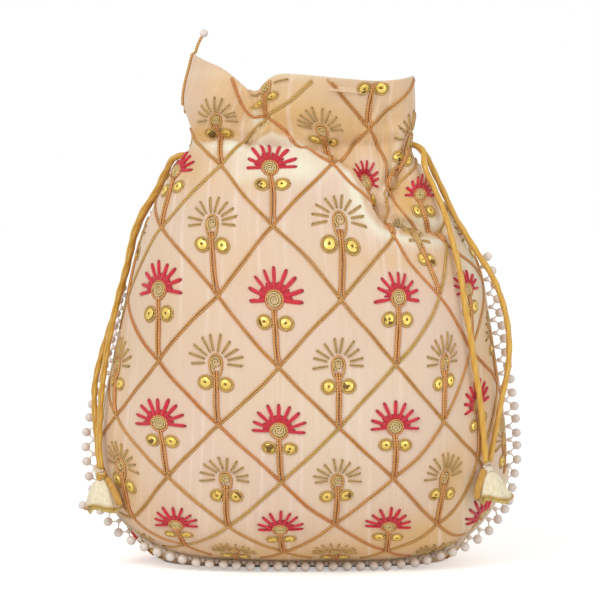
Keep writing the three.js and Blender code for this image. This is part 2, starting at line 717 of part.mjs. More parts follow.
function onPanel(side, { turn, level }, height) {
  const grid = SKINS[side];
  const column = Math.min(COLUMNS - 1e-6, Math.max(0, ((turn + 90) * COLUMNS) / 180));
  const j = Math.floor(column);
  let i = PANEL_LEVELS.findIndex((l) => l > level) - 1;
  if (i < 0) i = level > 1 ? PANEL_LEVELS.length - 2 : 0;
  const u = column - j;
  const v = Math.min(1, Math.max(0, (level - PANEL_LEVELS[i]) / (PANEL_LEVELS[i + 1] - PANEL_LEVELS[i])));
  const [a, b, c, d] = [grid[i][j], grid[i][j + 1], grid[i + 1][j + 1], grid[i + 1][j]];
  const point = a.clone();
  const add = (from, to, amount) => point.addScaledVector(to.clone().sub(from), amount);
  if ((i + j) % 2 === 0) {
    if (u > v) add(a, b, u).addScaledVector(c.clone().sub(b), v);
    else add(a, d, v).addScaledVector(c.clone().sub(d), u);
  } else if (u + v < 1) add(a, b, u).addScaledVector(d.clone().sub(a), v);
  else point.copy(c).addScaledVector(d.clone().sub(c), 1 - u).addScaledVector(b.clone().sub(c), 1 - v);
  return point.addScaledVector(clothNormal(side, Math.max(-88, Math.min(88, turn)), level), height);
}

// Embroidery in relief
const ROWS_UP = 9;
const COLUMNS_OUT = 4;
const LAID = 0.6;
const ZARI = { width: 1.8, height: 0.8, steps: { front: 3, back: 2 } };
const STEM = { width: 2.6, height: 0.95, from: 3.2 };
const HUB = { radius: 4.2, height: 1.1 };
const SEQUIN = { radius: 3.1, height: 0.7, across: 3.8, below: 10 };
const FAN = { petals: 9, spread: 190, root: 5.1, notch: 6.6, ridge: 6, tip: 12.2, height: 1 };

// A solid laid on the cloth from points (s, t, height above it), with its upper and
// lower faces
function laidSolid(side, points, upper, lower) {
  const spots = points.map(([s, t]) => place(side, s, t));
  if (spots.includes(null)) return null;
  const corners = spots.map((spot, i) => onPanel(side, spot, LAID + points[i][2]));
  const isLeft = ([a, b, c]) => {
    const [p, q, r] = [points[a], points[b], points[c]];
    return (q[0] - p[0]) * (r[1] - p[1]) - (q[1] - p[1]) * (r[0] - p[0]) > 0;
  };
  const turned = (face, up) => (isLeft(face) === (up === (side === 'front')) ? face : [...face].reverse());
  const faces = [...upper.map((face) => turned(face, true)), ...lower.map((face) => turned(face, false))];
  return solidOf(closed(faces.flat().map((i) => corners[i])));
}

function ribbonSolid(side, spots, { width, height }) {
  const middle = spots.map((spot) => onPanel(side, spot, LAID));
  const rows = middle.map((point, i) => {
    const normal = clothNormal(side, spots[i].turn, spots[i].level);
    const along = middle[Math.min(i + 1, middle.length - 1)].clone().sub(middle[Math.max(i - 1, 0)]);
    const across = along.cross(normal).setLength(width / 2);
    return [point.clone().sub(across), point.clone().addScaledVector(normal, height), point.clone().add(across)];
  });
  const faces = [];
  for (let i = 0; i + 1 < rows.length; i += 1) {
    for (let j = 0; j < 3; j += 1) {
      const [a, b] = [rows[i][j], rows[i][(j + 1) % 3]];
      const [c, d] = [rows[i + 1][(j + 1) % 3], rows[i + 1][j]];
      faces.push(a, b, c, a, c, d);
    }
  }
  faces.push(...[...rows[0]].reverse(), ...rows.at(-1));
  return solidOf(closed(faces));
}

// A disc of six sides with a raised middle
function discSolid(side, s, t, { radius, height }) {
  const rim = Array.from({ length: 6 }, (_, i) => {
    const angle = (Math.PI * (2 * i + 1)) / 6;
    return [s + radius * Math.cos(angle), t + radius * Math.sin(angle), 0];
  });
  const upper = rim.map((_, i) => [6, i, (i + 1) % 6]);
  const lower = [1, 2, 3, 4].map((i) => [0, i, i + 1]);
  return laidSolid(side, [...rim, [s, t, height]], upper, lower);
}

// A fan of petals, each a ridge that falls to its tip, round a hub or open at the root
function fanSolid(side, s, t, withHub) {
  const { petals, spread, root, notch, ridge, tip, height } = FAN;
  const at = (radius, degrees, lift) => {
    const angle = THREE.MathUtils.degToRad(degrees);
    return [s + radius * Math.cos(angle), t + radius * Math.sin(angle), lift];
  };
  const start = 90 - spread / 2;
  const wide = spread / petals;
  const outline = [at(withHub ? HUB.radius : root, start, 0)];
  const ridges = [];
  for (let i = 0; i < petals; i += 1) {
    outline.push(at(tip, start + wide * (i + 0.5), 0));
    ridges.push(at(ridge, start + wide * (i + 0.5), height));
    outline.push(at(notch, start + wide * (i + 1), 0));
  }
  outline[outline.length - 1] = at(withHub ? HUB.radius : root, start + spread, 0);
  const lowest = outline.length - 1;
  const spans = withHub ? 4 : (petals - 1) / 2;
  for (let i = 1; i < spans; i += 1) {
    if (withHub) outline.push(at(HUB.radius, start + spread + ((360 - spread) * i) / spans, 0));
    else outline.push(at(root, start + (spread * (spans - i)) / spans, 0));
  }
  const count = outline.length;
  const points = [...outline, ...ridges];
  const upper = [];
  for (let i = 0; i < petals; i += 1) {
    upper.push([count + i, 2 * i, 2 * i + 1], [count + i, 2 * i + 1, 2 * i + 2]);
    if (i + 1 < petals) upper.push([count + i, 2 * i + 2, count + i + 1]);
  }
  if (withHub) {
    const centre = points.push([s, t, HUB.height]) - 1;
    const ring = [...ridges.map((_, i) => count + i), lowest, lowest + 1, lowest + 2, lowest + 3, 0];
    ring.forEach((corner, i) => upper.push([centre, corner, ring[(i + 1) % ring.length]]));
  } else {
    const roots = Array.from({ length: spans + 1 }, (_, i) => (count - i) % count);
    for (let i = 0; i < spans; i += 1) {
      const k = count + 2 * i;
      upper.push([roots[i], k, k + 1], [roots[i], k + 1, roots[i + 1]], [roots[i + 1], k + 1, k + 2]);
    }
  }
  const flat = outline.map(([x, y]) => new THREE.Vector2(x, y));
  return laidSolid(side, points, upper, THREE.ShapeUtils.triangulateShape(flat, []));
}

// The lines of the lattice: each runs up the cloth, leaning one way
function latticeSolids(side) {
  const solids = [];
  const reach = ROWS_UP + COLUMNS_OUT;
  for (const lean of [1, -1]) {
    for (let line = -reach; line <= reach; line += 1) {
      let run = [];
      const close = () => {
        if (run.length > 2) solids.push(ribbonSolid(side, run, ZARI));
        run = [];
      };
      for (let step = 0; step <= ROWS_UP * ZARI.steps[side]; step += 1) {
        const row = step / ZARI.steps[side];
        const column = 2 * line - 0.5 + lean * row;
        const spot = place(side, column * HALF_PITCH, FIRST_ROW + row * ROW_PITCH);
        if (spot) run.push(spot);
        else close();
      }
      close();
    }
  }
  return solids;
}

// What of a solid is clear of the panel under it
function clearOf(swollen, solid) {
  return solid.subtract(swollen).decompose().reduce((a, b) => (b.volume() > a.volume() ? b : a));
}

function embroider(side) {
  const swollen = solidOf(panelGeometry(side, 0.7 * GAP, SILK));
  const gold = latticeSolids(side);
  const red = [];
  for (let row = 0; row <= ROWS_UP; row += 1) {
    for (let column = -COLUMNS_OUT; column < COLUMNS_OUT; column += 1) {
      if ((row + column) % 2 === 0) {
        const s = (column + 0.5) * HALF_PITCH;
        const t = FIRST_ROW + row * ROW_PITCH;
        const isRed = column % 2 !== 0;
        const fan = fanSolid(side, s, t, !isRed);
        const foot = [0, 1, 2, 3].map((i) => place(side, s, t - ROW_PITCH + (i / 3) * (ROW_PITCH - STEM.from)));
        const stem = foot.filter((spot) => spot !== null);
        if (fan && stem.length > 1) {
          gold.push(ribbonSolid(side, stem, STEM), isRed ? discSolid(side, s, t, HUB) : fan);
          for (const hand of side === 'front' ? [-1, 1] : []) {
            gold.push(discSolid(side, s + hand * SEQUIN.across, t - SEQUIN.below, SEQUIN));
          }
          if (isRed) red.push([`red_fan_${side}_${row}_${column + COLUMNS_OUT}`, fan]);
        }
      }
    }
  }
  const zari = wasm.Manifold.union(gold.filter((solid) => solid !== null));
  addMesh(`zari_${side}`, geometryOf(clearOf(swollen, zari)), materials.zari);
  red.forEach(([name, solid]) => addMesh(name, geometryOf(clearOf(swollen, solid)), materials.red));
}

embroider('front');
embroider('back');

export default part;
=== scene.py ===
"""A potli: a stuffed drawstring pouch of cream raw silk, embroidered, edged with pearl lace."""
import math

import bmesh
import bpy
import numpy as np
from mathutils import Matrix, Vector


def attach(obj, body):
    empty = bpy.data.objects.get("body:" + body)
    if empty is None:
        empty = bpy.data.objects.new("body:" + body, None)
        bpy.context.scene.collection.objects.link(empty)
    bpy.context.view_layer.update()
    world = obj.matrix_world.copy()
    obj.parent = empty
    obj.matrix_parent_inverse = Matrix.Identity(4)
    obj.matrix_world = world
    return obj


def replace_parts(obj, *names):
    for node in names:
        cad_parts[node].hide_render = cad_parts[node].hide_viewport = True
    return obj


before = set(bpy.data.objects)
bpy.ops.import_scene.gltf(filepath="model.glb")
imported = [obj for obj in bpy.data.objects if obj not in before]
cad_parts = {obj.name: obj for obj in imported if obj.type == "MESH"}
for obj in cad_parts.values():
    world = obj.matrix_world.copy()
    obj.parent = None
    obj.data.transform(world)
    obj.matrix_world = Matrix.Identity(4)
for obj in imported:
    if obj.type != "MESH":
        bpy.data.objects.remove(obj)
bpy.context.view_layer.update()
MM = 0.001
FORWARD = 2.95  # the pouch's own centre line stands this far behind the origin, in mm

# Camera, a little above the level of the pouch's middle
camera_data = bpy.data.cameras.new("camera")
camera = bpy.data.objects.new("camera", camera_data)
bpy.context.scene.collection.objects.link(camera)
bpy.context.scene.camera = camera
AIM = Vector((-0.0008, 0.0, 0.1112))
DISTANCE = 1.2
ELEVATION = math.radians(4)
WIDE = 0.252  # how much of the scene the picture spans at that distance
SENSOR = 36
camera_data.sensor_width = SENSOR
camera_data.lens = SENSOR * DISTANCE / WIDE
camera.location = AIM + DISTANCE * Vector((0, -math.cos(ELEVATION), math.sin(ELEVATION)))
camera.rotation_euler = (math.pi / 2 - ELEVATION, 0, 0)

# Finishes
FULL_TURN = 6.2832


def paint(red, green, blue):
    """A colour as a swatch book gives it, in the shader's own terms."""
    linear = [c / 255 / 12.92 if c <= 10 else ((c / 255 + 0.055) / 1.055) ** 2.4 for c in (red, green, blue)]
    return (*linear, 1.0)


class Wire:
    """A number that runs between shader nodes and takes part in plain sums."""

    def __init__(self, finish, socket):
        self.finish, self.socket = finish, socket

    def sum(self, operation, *values):
        node = self.finish.add("ShaderNodeMath", {"operation": operation}, dict(enumerate(values)))
        return Wire(self.finish, node.outputs[0])

    def __add__(self, other): return self.sum("ADD", self, other)
    def __radd__(self, other): return self.sum("ADD", other, self)
    def __sub__(self, other): return self.sum("SUBTRACT", self, other)
    def __rsub__(self, other): return self.sum("SUBTRACT", other, self)
    def __mul__(self, other): return self.sum("MULTIPLY", self, other)
    def __rmul__(self, other): return self.sum("MULTIPLY", other, self)
    def sine(self): return self.sum("SINE", self)

    def clipped(self, low=0.0, high=1.0):
        return self.sum("MINIMUM", self.sum("MAXIMUM", self, low), high)


def add_node(tree, kind, settings=None, sockets=None):
    """A shader node of a kind, with its settings and then the values or links of its sockets."""
    node = tree.nodes.new(kind)
    for key, value in (settings or {}).items():
        setattr(node, key, value)
    for key, value in (sockets or {}).items():
        source = value.socket if isinstance(value, Wire) else value
        if isinstance(source, bpy.types.NodeSocket):
            tree.links.new(source, node.inputs[key])
        else:
            node.inputs[key].default_value = source
    return node


class Finish:
    """One material and its nodes."""

    def __init__(self, name, **constants):
        self.material = bpy.data.materials.new(name)
        self.material.use_nodes = True
        self.tree = self.material.node_tree
        self.skin = self.tree.nodes["Principled BSDF"]
        for key, value in constants.items():
            self.skin.inputs[key.replace("_", " ").title().replace("Ior", "IOR")].default_value = value

    def add(self, kind, settings=None, sockets=None):
        return add_node(self.tree, kind, settings, sockets)

    def wire(self, socket):
        return Wire(self, socket)

    def place(self):
        """Where on the piece, in metres."""
        return self.add("ShaderNodeTexCoord").outputs["Object"]

    def laid(self):
        """Where on the cloth or along the thread, in metres: its UV map."""
        return self.add("ShaderNodeTexCoord").outputs["UV"]

    def tone(self, name="tone"):
        return self.wire(self.add("ShaderNodeAttribute", {"attribute_name": name}).outputs["Fac"])

    def noise(self, where, scale, detail=2.0, rough=0.5, stretch=None):
        if stretch:
            where = self.add("ShaderNodeMapping", None, {"Vector": where, "Scale": stretch}).outputs[0]
        sockets = {"Vector": where, "Scale": scale, "Detail": detail, "Roughness": rough}
        return self.wire(self.add("ShaderNodeTexNoise", None, sockets).outputs["Fac"])

    def split(self, vector):
        node = self.add("ShaderNodeSeparateXYZ", None, {0: vector})
        return [self.wire(out) for out in node.outputs]

    def blend(self, amount, first, second):
        """The first colour, and the second where the amount is 1."""
        node = self.add("ShaderNodeMix", {"data_type": "RGBA"}, {0: amount, 6: first, 7: second})
        return node.outputs[2]

    def bump(self, height, depth, strength=1.0):
        node = self.add("ShaderNodeBump", None, {"Height": height, "Distance": depth, "Strength": strength})
        self.tree.links.new(node.outputs[0], self.skin.inputs["Normal"])

    def feed(self, **wires):
        for key, value in wires.items():
            socket = value.socket if isinstance(value, Wire) else value
            self.tree.links.new(socket, self.skin.inputs[key.replace("_", " ").title()])


def raw_silk():
    f = Finish("raw_silk", sheen_weight=0.25, sheen_roughness=0.4, specular_ior_level=0.35)
    where = f.laid()
    slub = f.noise(where, 1.0, 2.0, 0.5, (900, 38, 1))
    streak = f.noise(where, 1.0, 1.0, 0.5, (330, 9, 1))
    weft = f.noise(where, 1.0, 1.0, 0.5, (40, 2200, 1))
    cloud = f.noise(f.place(), 26.0, 2.0)
    base = f.blend((cloud * 1.6 - 0.45).clipped(), paint(228, 199, 179), paint(226, 200, 168))
    # Painted light from the cloth's tints: a golden tan of painted shade, a painted highlight, and a brown
    # painted shade in the deepest creases
    base = f.blend(f.tone("painted_tan_shade").clipped(), base, paint(222, 178, 112))
    base = f.blend(f.tone("painted_highlight").clipped(), base, paint(240, 236, 212))
    base = f.blend(f.tone("deep").clipped(), base, paint(168, 112, 62))
    base = f.blend(((streak - 0.56) * 6).clipped() * 0.4, base, paint(246, 226, 212))
    base = f.blend(((slub - 0.55) * 4).clipped() * 0.22, base, paint(205, 172, 138))
    f.feed(base_color=base, roughness=0.5 + slub * 0.25)
    f.bump(slub * 0.6 + weft * 0.35 + streak * 0.4, 0.00022, 0.6)
    return f.material


def plain_lining():
    f = Finish("lining_cloth", sheen_weight=0.2, specular_ior_level=0.3)
    where = f.laid()
    warp = f.noise(where, 1.0, 1.0, 0.5, (1500, 60, 1))
    weft = f.noise(where, 1.0, 1.0, 0.5, (60, 1500, 1))
    base = f.blend(f.noise(f.place(), 40).clipped(), paint(238, 222, 196), paint(226, 206, 172))
    f.feed(base_color=base, roughness=0.55 + warp * 0.2)
    f.bump(warp + weft, 0.0002, 0.5)
    return f.material


def zari_cord():
    """Twisted metallic thread, from olive gold at tone 0 to copper at tone 1."""
    f = Finish("zari_cord", specular_ior_level=0.5)
    along, around, _ = f.split(f.laid())
    twist = (along * 5200 + around * FULL_TURN).sine() * 0.5 + 0.5
    wear = f.noise(f.place(), 330.0, 2.0)
    gold = f.blend(wear, paint(190, 152, 78), paint(218, 188, 118))
    copper = f.blend(wear, paint(200, 122, 66), paint(222, 162, 104))
    base = f.blend((f.tone() + (wear - 0.5) * 0.5).clipped(), gold, copper)
    base = f.blend((0 - f.tone()).clipped(), base, paint(226, 208, 148))
    # Darker in the twist's grooves: painted shade between the plies
    base = f.blend((1 - twist) * 0.32, base, paint(170, 112, 54))
    f.feed(base_color=base, metallic=0.25 + wear * 0.3, roughness=0.5 - twist * 0.18)
    f.bump(twist, 0.0002, 0.8)
    return f.material


def stitched_thread(name, dark, light, tip):
    """Satin stitch: fine threads side by side across a petal, and the colour of its tip."""
    f = Finish(name, sheen_weight=0.3, sheen_roughness=0.35, specular_ior_level=0.4)
    along, across, _ = f.split(f.laid())
    threads = (across * 26).sine() * 0.5 + 0.5
    uneven = f.noise(f.place(), 700.0, 1.0)
    # Lighter on the threads and darker between them: painted highlight and painted shade of the stitches,
    # with an uneven tone at random
    base = f.blend((threads * 0.6 + uneven * 0.6 - 0.1).clipped(), dark, light)
    base = f.blend(((along - 0.78) * 6).clipped() * 0.75, base, tip)
    f.feed(base_color=base, roughness=0.5 - threads * 0.15)
    f.bump(threads + uneven * 0.5, 0.00015, 0.7)
    return f.material


def sequin_gold():
    f = Finish("sequin_gold", specular_ior_level=0.6)
    dent = f.noise(f.place(), 420.0, 2.0)
    base = f.blend(dent, paint(230, 184, 66), paint(250, 230, 138))
    # Dark spots on some sequins: painted reflections
    glint = f.noise(f.place(), 260.0, 0.0)
    base = f.blend(((glint - 0.66) * 30).clipped() * 0.85, base, paint(84, 50, 22))
    f.feed(base_color=base, metallic=0.65 + dent * 0.2, roughness=0.24 + dent * 0.2)
    f.bump(dent, 0.0003, 0.5)
    return f.material


def pearl_coat():
    f = Finish("pearl_coat", coat_weight=0.5, coat_roughness=0.12, specular_ior_level=0.5)
    cloud = f.noise(f.place(), 160.0, 1.0)
    base = f.blend((cloud * 1.7 - 0.4).clipped(), paint(240, 232, 222), paint(222, 204, 198))
    f.feed(base_color=base, roughness=0.22 + cloud * 0.15)
    f.bump(cloud, 0.00005, 0.3)
    return f.material


def satin_cord():
    """Golden satin cord: fine threads that wind slowly round it."""
    f = Finish("satin_cord", sheen_weight=0.25, sheen_roughness=0.3, specular_ior_level=0.45)
    along, around, _ = f.split(f.laid())
    ply = (along * 700 + around * FULL_TURN * 2).sine() * 0.5 + 0.5
    thread = (along * 2600 + around * FULL_TURN * 9).sine() * 0.5 + 0.5
    patch = f.noise(f.place(), 90.0, 1.0)
    base = f.blend(patch, paint(202, 142, 42), paint(222, 172, 76))
    # Lighter on the crests of the plies and threads: painted highlight
    base = f.blend(ply * 0.35 + thread * 0.2, base, paint(238, 198, 96))
    f.feed(base_color=base, roughness=0.42 - ply * 0.1)
    f.bump(ply * 0.7 + thread * 0.3, 0.0003, 0.7)
    return f.material


def bell_silk(name, dark, light):
    f = Finish(name, sheen_weight=0.3, specular_ior_level=0.35)
    where = f.place()
    rib = f.noise(where, 1.0, 1.0, 0.5, (1500, 1500, 90))
    weft = f.noise(where, 1.0, 1.0, 0.5, (200, 200, 1600))
    base = f.blend((rib * 1.8 - 0.4).clipped(), dark, light)
    f.feed(base_color=base, roughness=0.45 + weft * 0.2)
    f.bump(rib + weft * 0.5, 0.0002, 0.6)
    return f.material


def white_thread():
    f = Finish("lace_thread", specular_ior_level=0.3)
    fibre = f.noise(f.place(), 1500.0, 1.0)
    f.feed(base_color=f.blend(fibre, paint(226, 208, 184), paint(244, 236, 222)), roughness=0.6 + fibre * 0.2)
    f.bump(fibre, 0.0001, 0.5)
    return f.material


SILK = raw_silk()
LINING = plain_lining()
ZARI = zari_cord()
RED = stitched_thread("red_stitch", paint(208, 22, 44), paint(240, 66, 82), paint(158, 26, 56))
GOLD = stitched_thread("gold_stitch", paint(206, 166, 94), paint(232, 198, 132), paint(186, 146, 84))
SEQUIN = sequin_gold()
PEARL = pearl_coat()
CORD = satin_cord()
BELL = bell_silk("bell_silk", paint(226, 210, 170), paint(246, 238, 212))
BELL_LINING = bell_silk("bell_lining", paint(196, 160, 70), paint(226, 206, 130))
BELL_STRIP = bell_silk("bell_strip", paint(178, 126, 44), paint(216, 168, 84))
THREAD = white_thread()


class Bundle:
    """The parts of one piece, in mm, gathered before they become its mesh."""

    def __init__(self):
        self.points, self.faces, self.laid, self.tones, self.count = [], [], [], [], 0

    def add(self, points, faces, laid=None, tone=0.0):
        self.points.append(np.asarray(points, float).reshape(-1, 3))
        self.faces += [[i + self.count for i in face] for face in faces]
        number = len(self.points[-1])
        self.laid.append(np.zeros((number, 2)) if laid is None else np.asarray(laid, float).reshape(-1, 2))
        self.tones.append(np.full(number, tone))
        self.count += number

    def piece(self, name, material, kind, closed=True):
        points = np.vstack(self.points)
        points[:, 1] += FORWARD
        mesh = bpy.data.meshes.new(name)
        mesh.from_pydata((points * MM).tolist(), [], self.faces)
        if closed:
            shell = bmesh.new()
            shell.from_mesh(mesh)
            bmesh.ops.recalc_face_normals(shell, faces=shell.faces)
            shell.to_mesh(mesh)
            shell.free()
        corners = np.zeros(len(mesh.loops), int)
        mesh.loops.foreach_get("vertex_index", corners)
        mesh.uv_layers.new(name="laid").data.foreach_set("uv", np.vstack(self.laid)[corners].ravel())
        tone = mesh.attributes.new("tone", "FLOAT", "POINT")
        tone.data.foreach_set("value", np.concatenate(self.tones))
        mesh.polygons.foreach_set("use_smooth", [True] * len(mesh.polygons))
        mesh.materials.append(material)
        made = bpy.data.objects.new(name, mesh)
        bpy.context.scene.collection.objects.link(made)
        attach(made, "root")
        return made


def unit(vectors):
    return vectors / np.maximum(np.linalg.norm(vectors, axis=-1, keepdims=True), 1e-9)


def drawn_on(points):
    """Given points with one more before and behind them, and the root of each gap's length."""
    points = np.asarray(points, float)
    points = np.vstack([2 * points[0] - points[1], points, 2 * points[-1] - points[-2]])
    return points, np.linalg.norm(np.diff(points, axis=0), axis=1) ** 0.5


def between(p, gaps, k):
    """The spot at share k of the way from the second to the third of four points."""
    a, b, c, d = p
    g0, g1, g2 = gaps
    start = ((b - a) / g0 - (c - a) / (g0 + g1) + (c - b) / g1) * g1
    end = ((c - b) / g1 - (d - b) / (g1 + g2) + (d - c) / g2) * g1
    return (b + start * k + (3 * (c - b) - 2 * start - end) * k ** 2
            + (2 * (b - c) + start + end) * k ** 3)


def through(points, step):
    """A smooth line through given points, with a point every step."""
    ahead, gaps = drawn_on(points)
    gaps = np.maximum(gaps, 1e-4)
    line = []
    for i in range(len(points) - 1):
        count = max(2, int(np.linalg.norm(ahead[i + 2] - ahead[i + 1]) / step) + 1)
        k = np.linspace(0, 1, count, endpoint=False)[:, None]
        line.append(between(ahead[i:i + 4], gaps[i:i + 3], k))
    return np.vstack([*line, ahead[-2:-1]])


def ring_faces(rings, sides):
    """The faces of a closed tube of rings."""
    faces = []
    for i in range(rings - 1):
        for j in range(sides):
            k = (j + 1) % sides
            faces.append([i * sides + j, i * sides + k, (i + 1) * sides + k, (i + 1) * sides + j])
    faces.append(list(range(sides))[::-1])
    faces.append([(rings - 1) * sides + j for j in range(sides)])
    return faces


def net_faces(rows, columns, flipped):
    """The faces of a net of points, row by row."""
    faces = []
    for i in range(rows - 1):
        for j in range(columns - 1):
            face = [i * columns + j, i * columns + j + 1, (i + 1) * columns + j + 1, (i + 1) * columns + j]
            faces.append(face[::-1] if flipped else face)
    return faces


PLY_GROOVE = 0.09  # how deep the groove between a cord's plies is, as a share of its radius


def wound(bundle, line, up, radius, sides=6, tone=0.0, lobes=0, turn=0.0):
    """A cord along a line of points, with its upper side given for all of it or point by point."""
    line = np.asarray(line, float)
    along = unit(np.gradient(line, axis=0))
    across = unit(np.cross(along, np.broadcast_to(np.asarray(up, float), line.shape)))
    up = np.cross(across, along)
    run = np.concatenate([[0], np.cumsum(np.linalg.norm(np.diff(line, axis=0), axis=1))])
    angle = np.arange(sides) * 2 * np.pi / sides
    wide = np.full((len(line), sides), radius, float)
    if lobes:
        wide *= 1 - PLY_GROOVE * (1 + np.cos(lobes * angle[None] + turn * run[:, None]))
    points = line[:, None] + wide[..., None] * (
        np.cos(angle)[None, :, None] * across[:, None] + np.sin(angle)[None, :, None] * up[:, None])
    laid = np.stack([np.repeat(run[:, None] * MM, sides, 1),
                     np.repeat(angle[None] / (2 * np.pi), len(line), 0)], -1)
    bundle.add(points, ring_faces(len(line), sides), laid, tone)


def free_frame(line):
    """An upper side for a free cord, carried along it without a twist."""
    along = unit(np.gradient(line, axis=0))
    up = np.cross(along[0], (0.0, 1.0, 0.3))
    ups = []
    for a in along:
        up = up - a * np.dot(up, a)
        up = up / np.linalg.norm(up)
        ups.append(up)
    return np.array(ups)


# The four free strands of the drawcords, as points in mm from the pouch's centre line
CORD_WIDE = 2.8
CORD_STEP, CORD_SIDES, CORD_FULL, CORD_TURN = 1.6, 14, 0.97, 0.7
STRANDS = {
    "left_front": [
        (-49, 0, 171.8), (-51, 0, 171.6), (-53.8, 0.8, 170.4), (-57.6, 6.4, 165), (-62.5, 12, 155.5),
        (-67.2, 12.2, 148.5), (-71.2, 10, 139), (-74.4, 7, 124.3), (-77.7, 3.5, 111.7), (-80.2, 0.5, 99.5),
        (-82, -3.5, 89.5), (-83.6, -8.5, 76), (-84.4, -14.8, 61), (-84.2, -20, 49), (-83.2, -22, 42.2)],
    "left_back": [
        (-49, 3.3, 171.8), (-51.2, 3.1, 171.7), (-54.4, 5.2, 170.4), (-57, 11.6, 165), (-61.8, 15.8, 155),
        (-66.5, 16.2, 148), (-70.8, 14, 138), (-74, 11.2, 124.3), (-77.8, 7.4, 110.5), (-81.4, 3.8, 98.5),
        (-84.8, -0.5, 87), (-87, -4.5, 76), (-86.8, -9.5, 64.5), (-85.6, -14, 54), (-84.6, -17.4, 45.5),
        (-84.2, -18.4, 42.2)],
    "right_front": [
        (45.3, -1.6, 176.2), (47.2, -1.7, 176.2), (50.4, -4.8, 174), (51.2, -11.5, 167), (55.2, -13, 157.8),
        (58.8, -17.4, 149), (61.8, -23.8, 138), (64.9, -30.1, 124.3), (66.9, -33.9, 110.5), (69, -35.6, 98),
        (71, -35.4, 85), (73, -35, 72), (74.6, -33.6, 58), (75.6, -32, 46.2)],
    "right_back": [
        (45.3, 1.6, 176.2), (47.4, 1.6, 176), (51.8, 0.6, 172), (56, -2.4, 163.5), (60.2, -4.8, 154.5),
        (63.6, -7.2, 146.8), (67.4, -10.5, 140.5), (73, -13.8, 131.5), (79, -15.4, 122), (83.4, -16, 111),
        (85.8, -17.4, 98.5), (85.6, -19.4, 85), (82.8, -22.6, 72), (79.9, -26.2, 58), (77.4, -28.9, 46.2)],
}
cords, cord_lines = {}, {}
for name, points in STRANDS.items():
    line = through(points, CORD_STEP)
    bundle = Bundle()
    wound(bundle, line, free_frame(line), CORD_WIDE / 2 * CORD_FULL, CORD_SIDES, lobes=2, turn=CORD_TURN)
    cords[name] = bundle.piece(f"strand_{name}", CORD, "cord")
    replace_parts(cords[name], "cord_" + name)
    cord_lines[name] = (line + (0, FORWARD, 0)) * MM
for side in ("left", "right"):
    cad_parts[f"cord_{side}_held"].data.materials.clear()
    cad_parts[f"cord_{side}_held"].data.materials.append(CORD)


# The cloth: a loft through stations from the bottom seam up to the hem. Each has the left and
# right seams (x, y, z), and the middle of the front and of the back (y, z), in mm.
STATIONS = [
    ((-83, 1, 30), (83, 6, 28), (-22, 3.4), (-22, 3.4)),
    ((-85.5, 1, 42), (85.5, 5, 40), (-37, 9.5), (2, -8)),
    ((-85.5, 2, 54), (85.5, 2, 52), (-47, 23), (26, -8)),
    ((-83, 4, 68), (84, 0, 66), (-53.5, 43.5), (42, 9)),
    ((-79.5, 9, 86), (81, 0, 85), (-55.5, 68), (49, 36)),
    ((-75.5, 11, 105), (78, 0, 104), (-52.5, 94), (48.5, 68)),
    ((-71, 11, 125), (74, 2, 125), (-46, 120.5), (43.5, 102)),
    ((-64.5, 8, 146), (63.5, 4, 146), (-36, 145), (34.5, 134)),
    ((-54, 3, 166), (53, 1, 162), (-26, 164), (24.5, 160)),
    ((-46, 0, 178), (46, 0, 174.5), (-21, 176.5), (20, 176.5)),
    ((-49.5, 0, 194.5), (47.5, 0, 191), (-23.5, 191), (22, 184)),
    ((-45.5, 0, 214), (47, 0, 205), (-27, 205), (29, 190.5)),
]
TOP, NECK = 11, 9  # the stations of the hem and of the neck
# Folds and waves of each side: a line of (x, z), how wide and how deep they are, in mm
FOLDS = {
    "front": [
        (((40, 178), (39, 168), (35, 158.5), (32, 151)), 3, 4.4),
        (((27, 163), (29, 154.5), (35, 146.5), (41, 143), (60, 139.5)), 3.2, 3.5),
        (((20, 160), (22, 151), (30, 140), (38, 136), (58, 132)), 6, -2),
        (((-44, 178.5), (-30, 178.5), (-20, 176), (0, 175.5), (34, 176)), 3.5, 2.5),
        (((-44, 174), (-52, 160), (-58, 148)), 5, 2),
        (((-12, 172), (-14, 160), (-16, 150)), 6, 1.2)],
    "back": [
        (((-40, 174), (-44, 162), (-50, 148)), 4, 3),
        (((-20, 176), (-22, 160), (-26, 140)), 4.5, 3.5),
        (((2, 176), (2, 158), (3, 138)), 5, 3),
        (((22, 176), (24, 160), (29, 140)), 4.5, 3.5),
        (((38, 174), (43, 162), (49, 150)), 4, 3)],
}
WAVES = {
    "front": [
        (((-23.5, 206), (-24, 192), (-24, 187)), 6, 5), (((-38, 208), (-37, 190)), 7, -2.5),
        (((8, 208), (4, 191)), 14, -3), (((34, 206), (37, 188)), 5, 3)],
    "back": [
        (((-28, 196), (-27, 187)), 6, 4), (((-12, 196), (-12, 189)), 7, -2.5), (((4, 196), (3, 187)), 6, 4),
        (((19, 196), (18, 189)), 7, -2.5), (((33, 196), (31, 187)), 6, 3.5)],
}
SIGN = {"front": -1, "back": 1}
HEM_DIP, DIP_AT, DIP_WIDE = 9, -22, 8  # the low place of the front's hem


def rail(points):
    """A centripetal spline through the stations, as a function of level."""
    p, gaps = drawn_on(points)

    def at(level):
        level = np.asarray(level, float)
        i = np.clip(np.floor(level).astype(int), 0, TOP - 1)
        return between([p[i + n] for n in range(4)], [gaps[i + n][..., None] for n in range(3)],
                       (level - i)[..., None])
    return at


LEFT_RAIL = rail([s[0] for s in STATIONS])
RIGHT_RAIL = rail([s[1] for s in STATIONS])
MIDDLE = {"front": rail([(0, *s[2]) for s in STATIONS]), "back": rail([(0, *s[3]) for s in STATIONS])}


def smooth(low, high, value):
    """0 up to low, 1 from high, with a soft passage."""
    k = np.clip((value - low) / (high - low), 0, 1)
    return k * k * (3 - 2 * k)


def bell(value, width):
    """1 at 0, fading out over about the width."""
    return np.exp(-(value / width) ** 2)


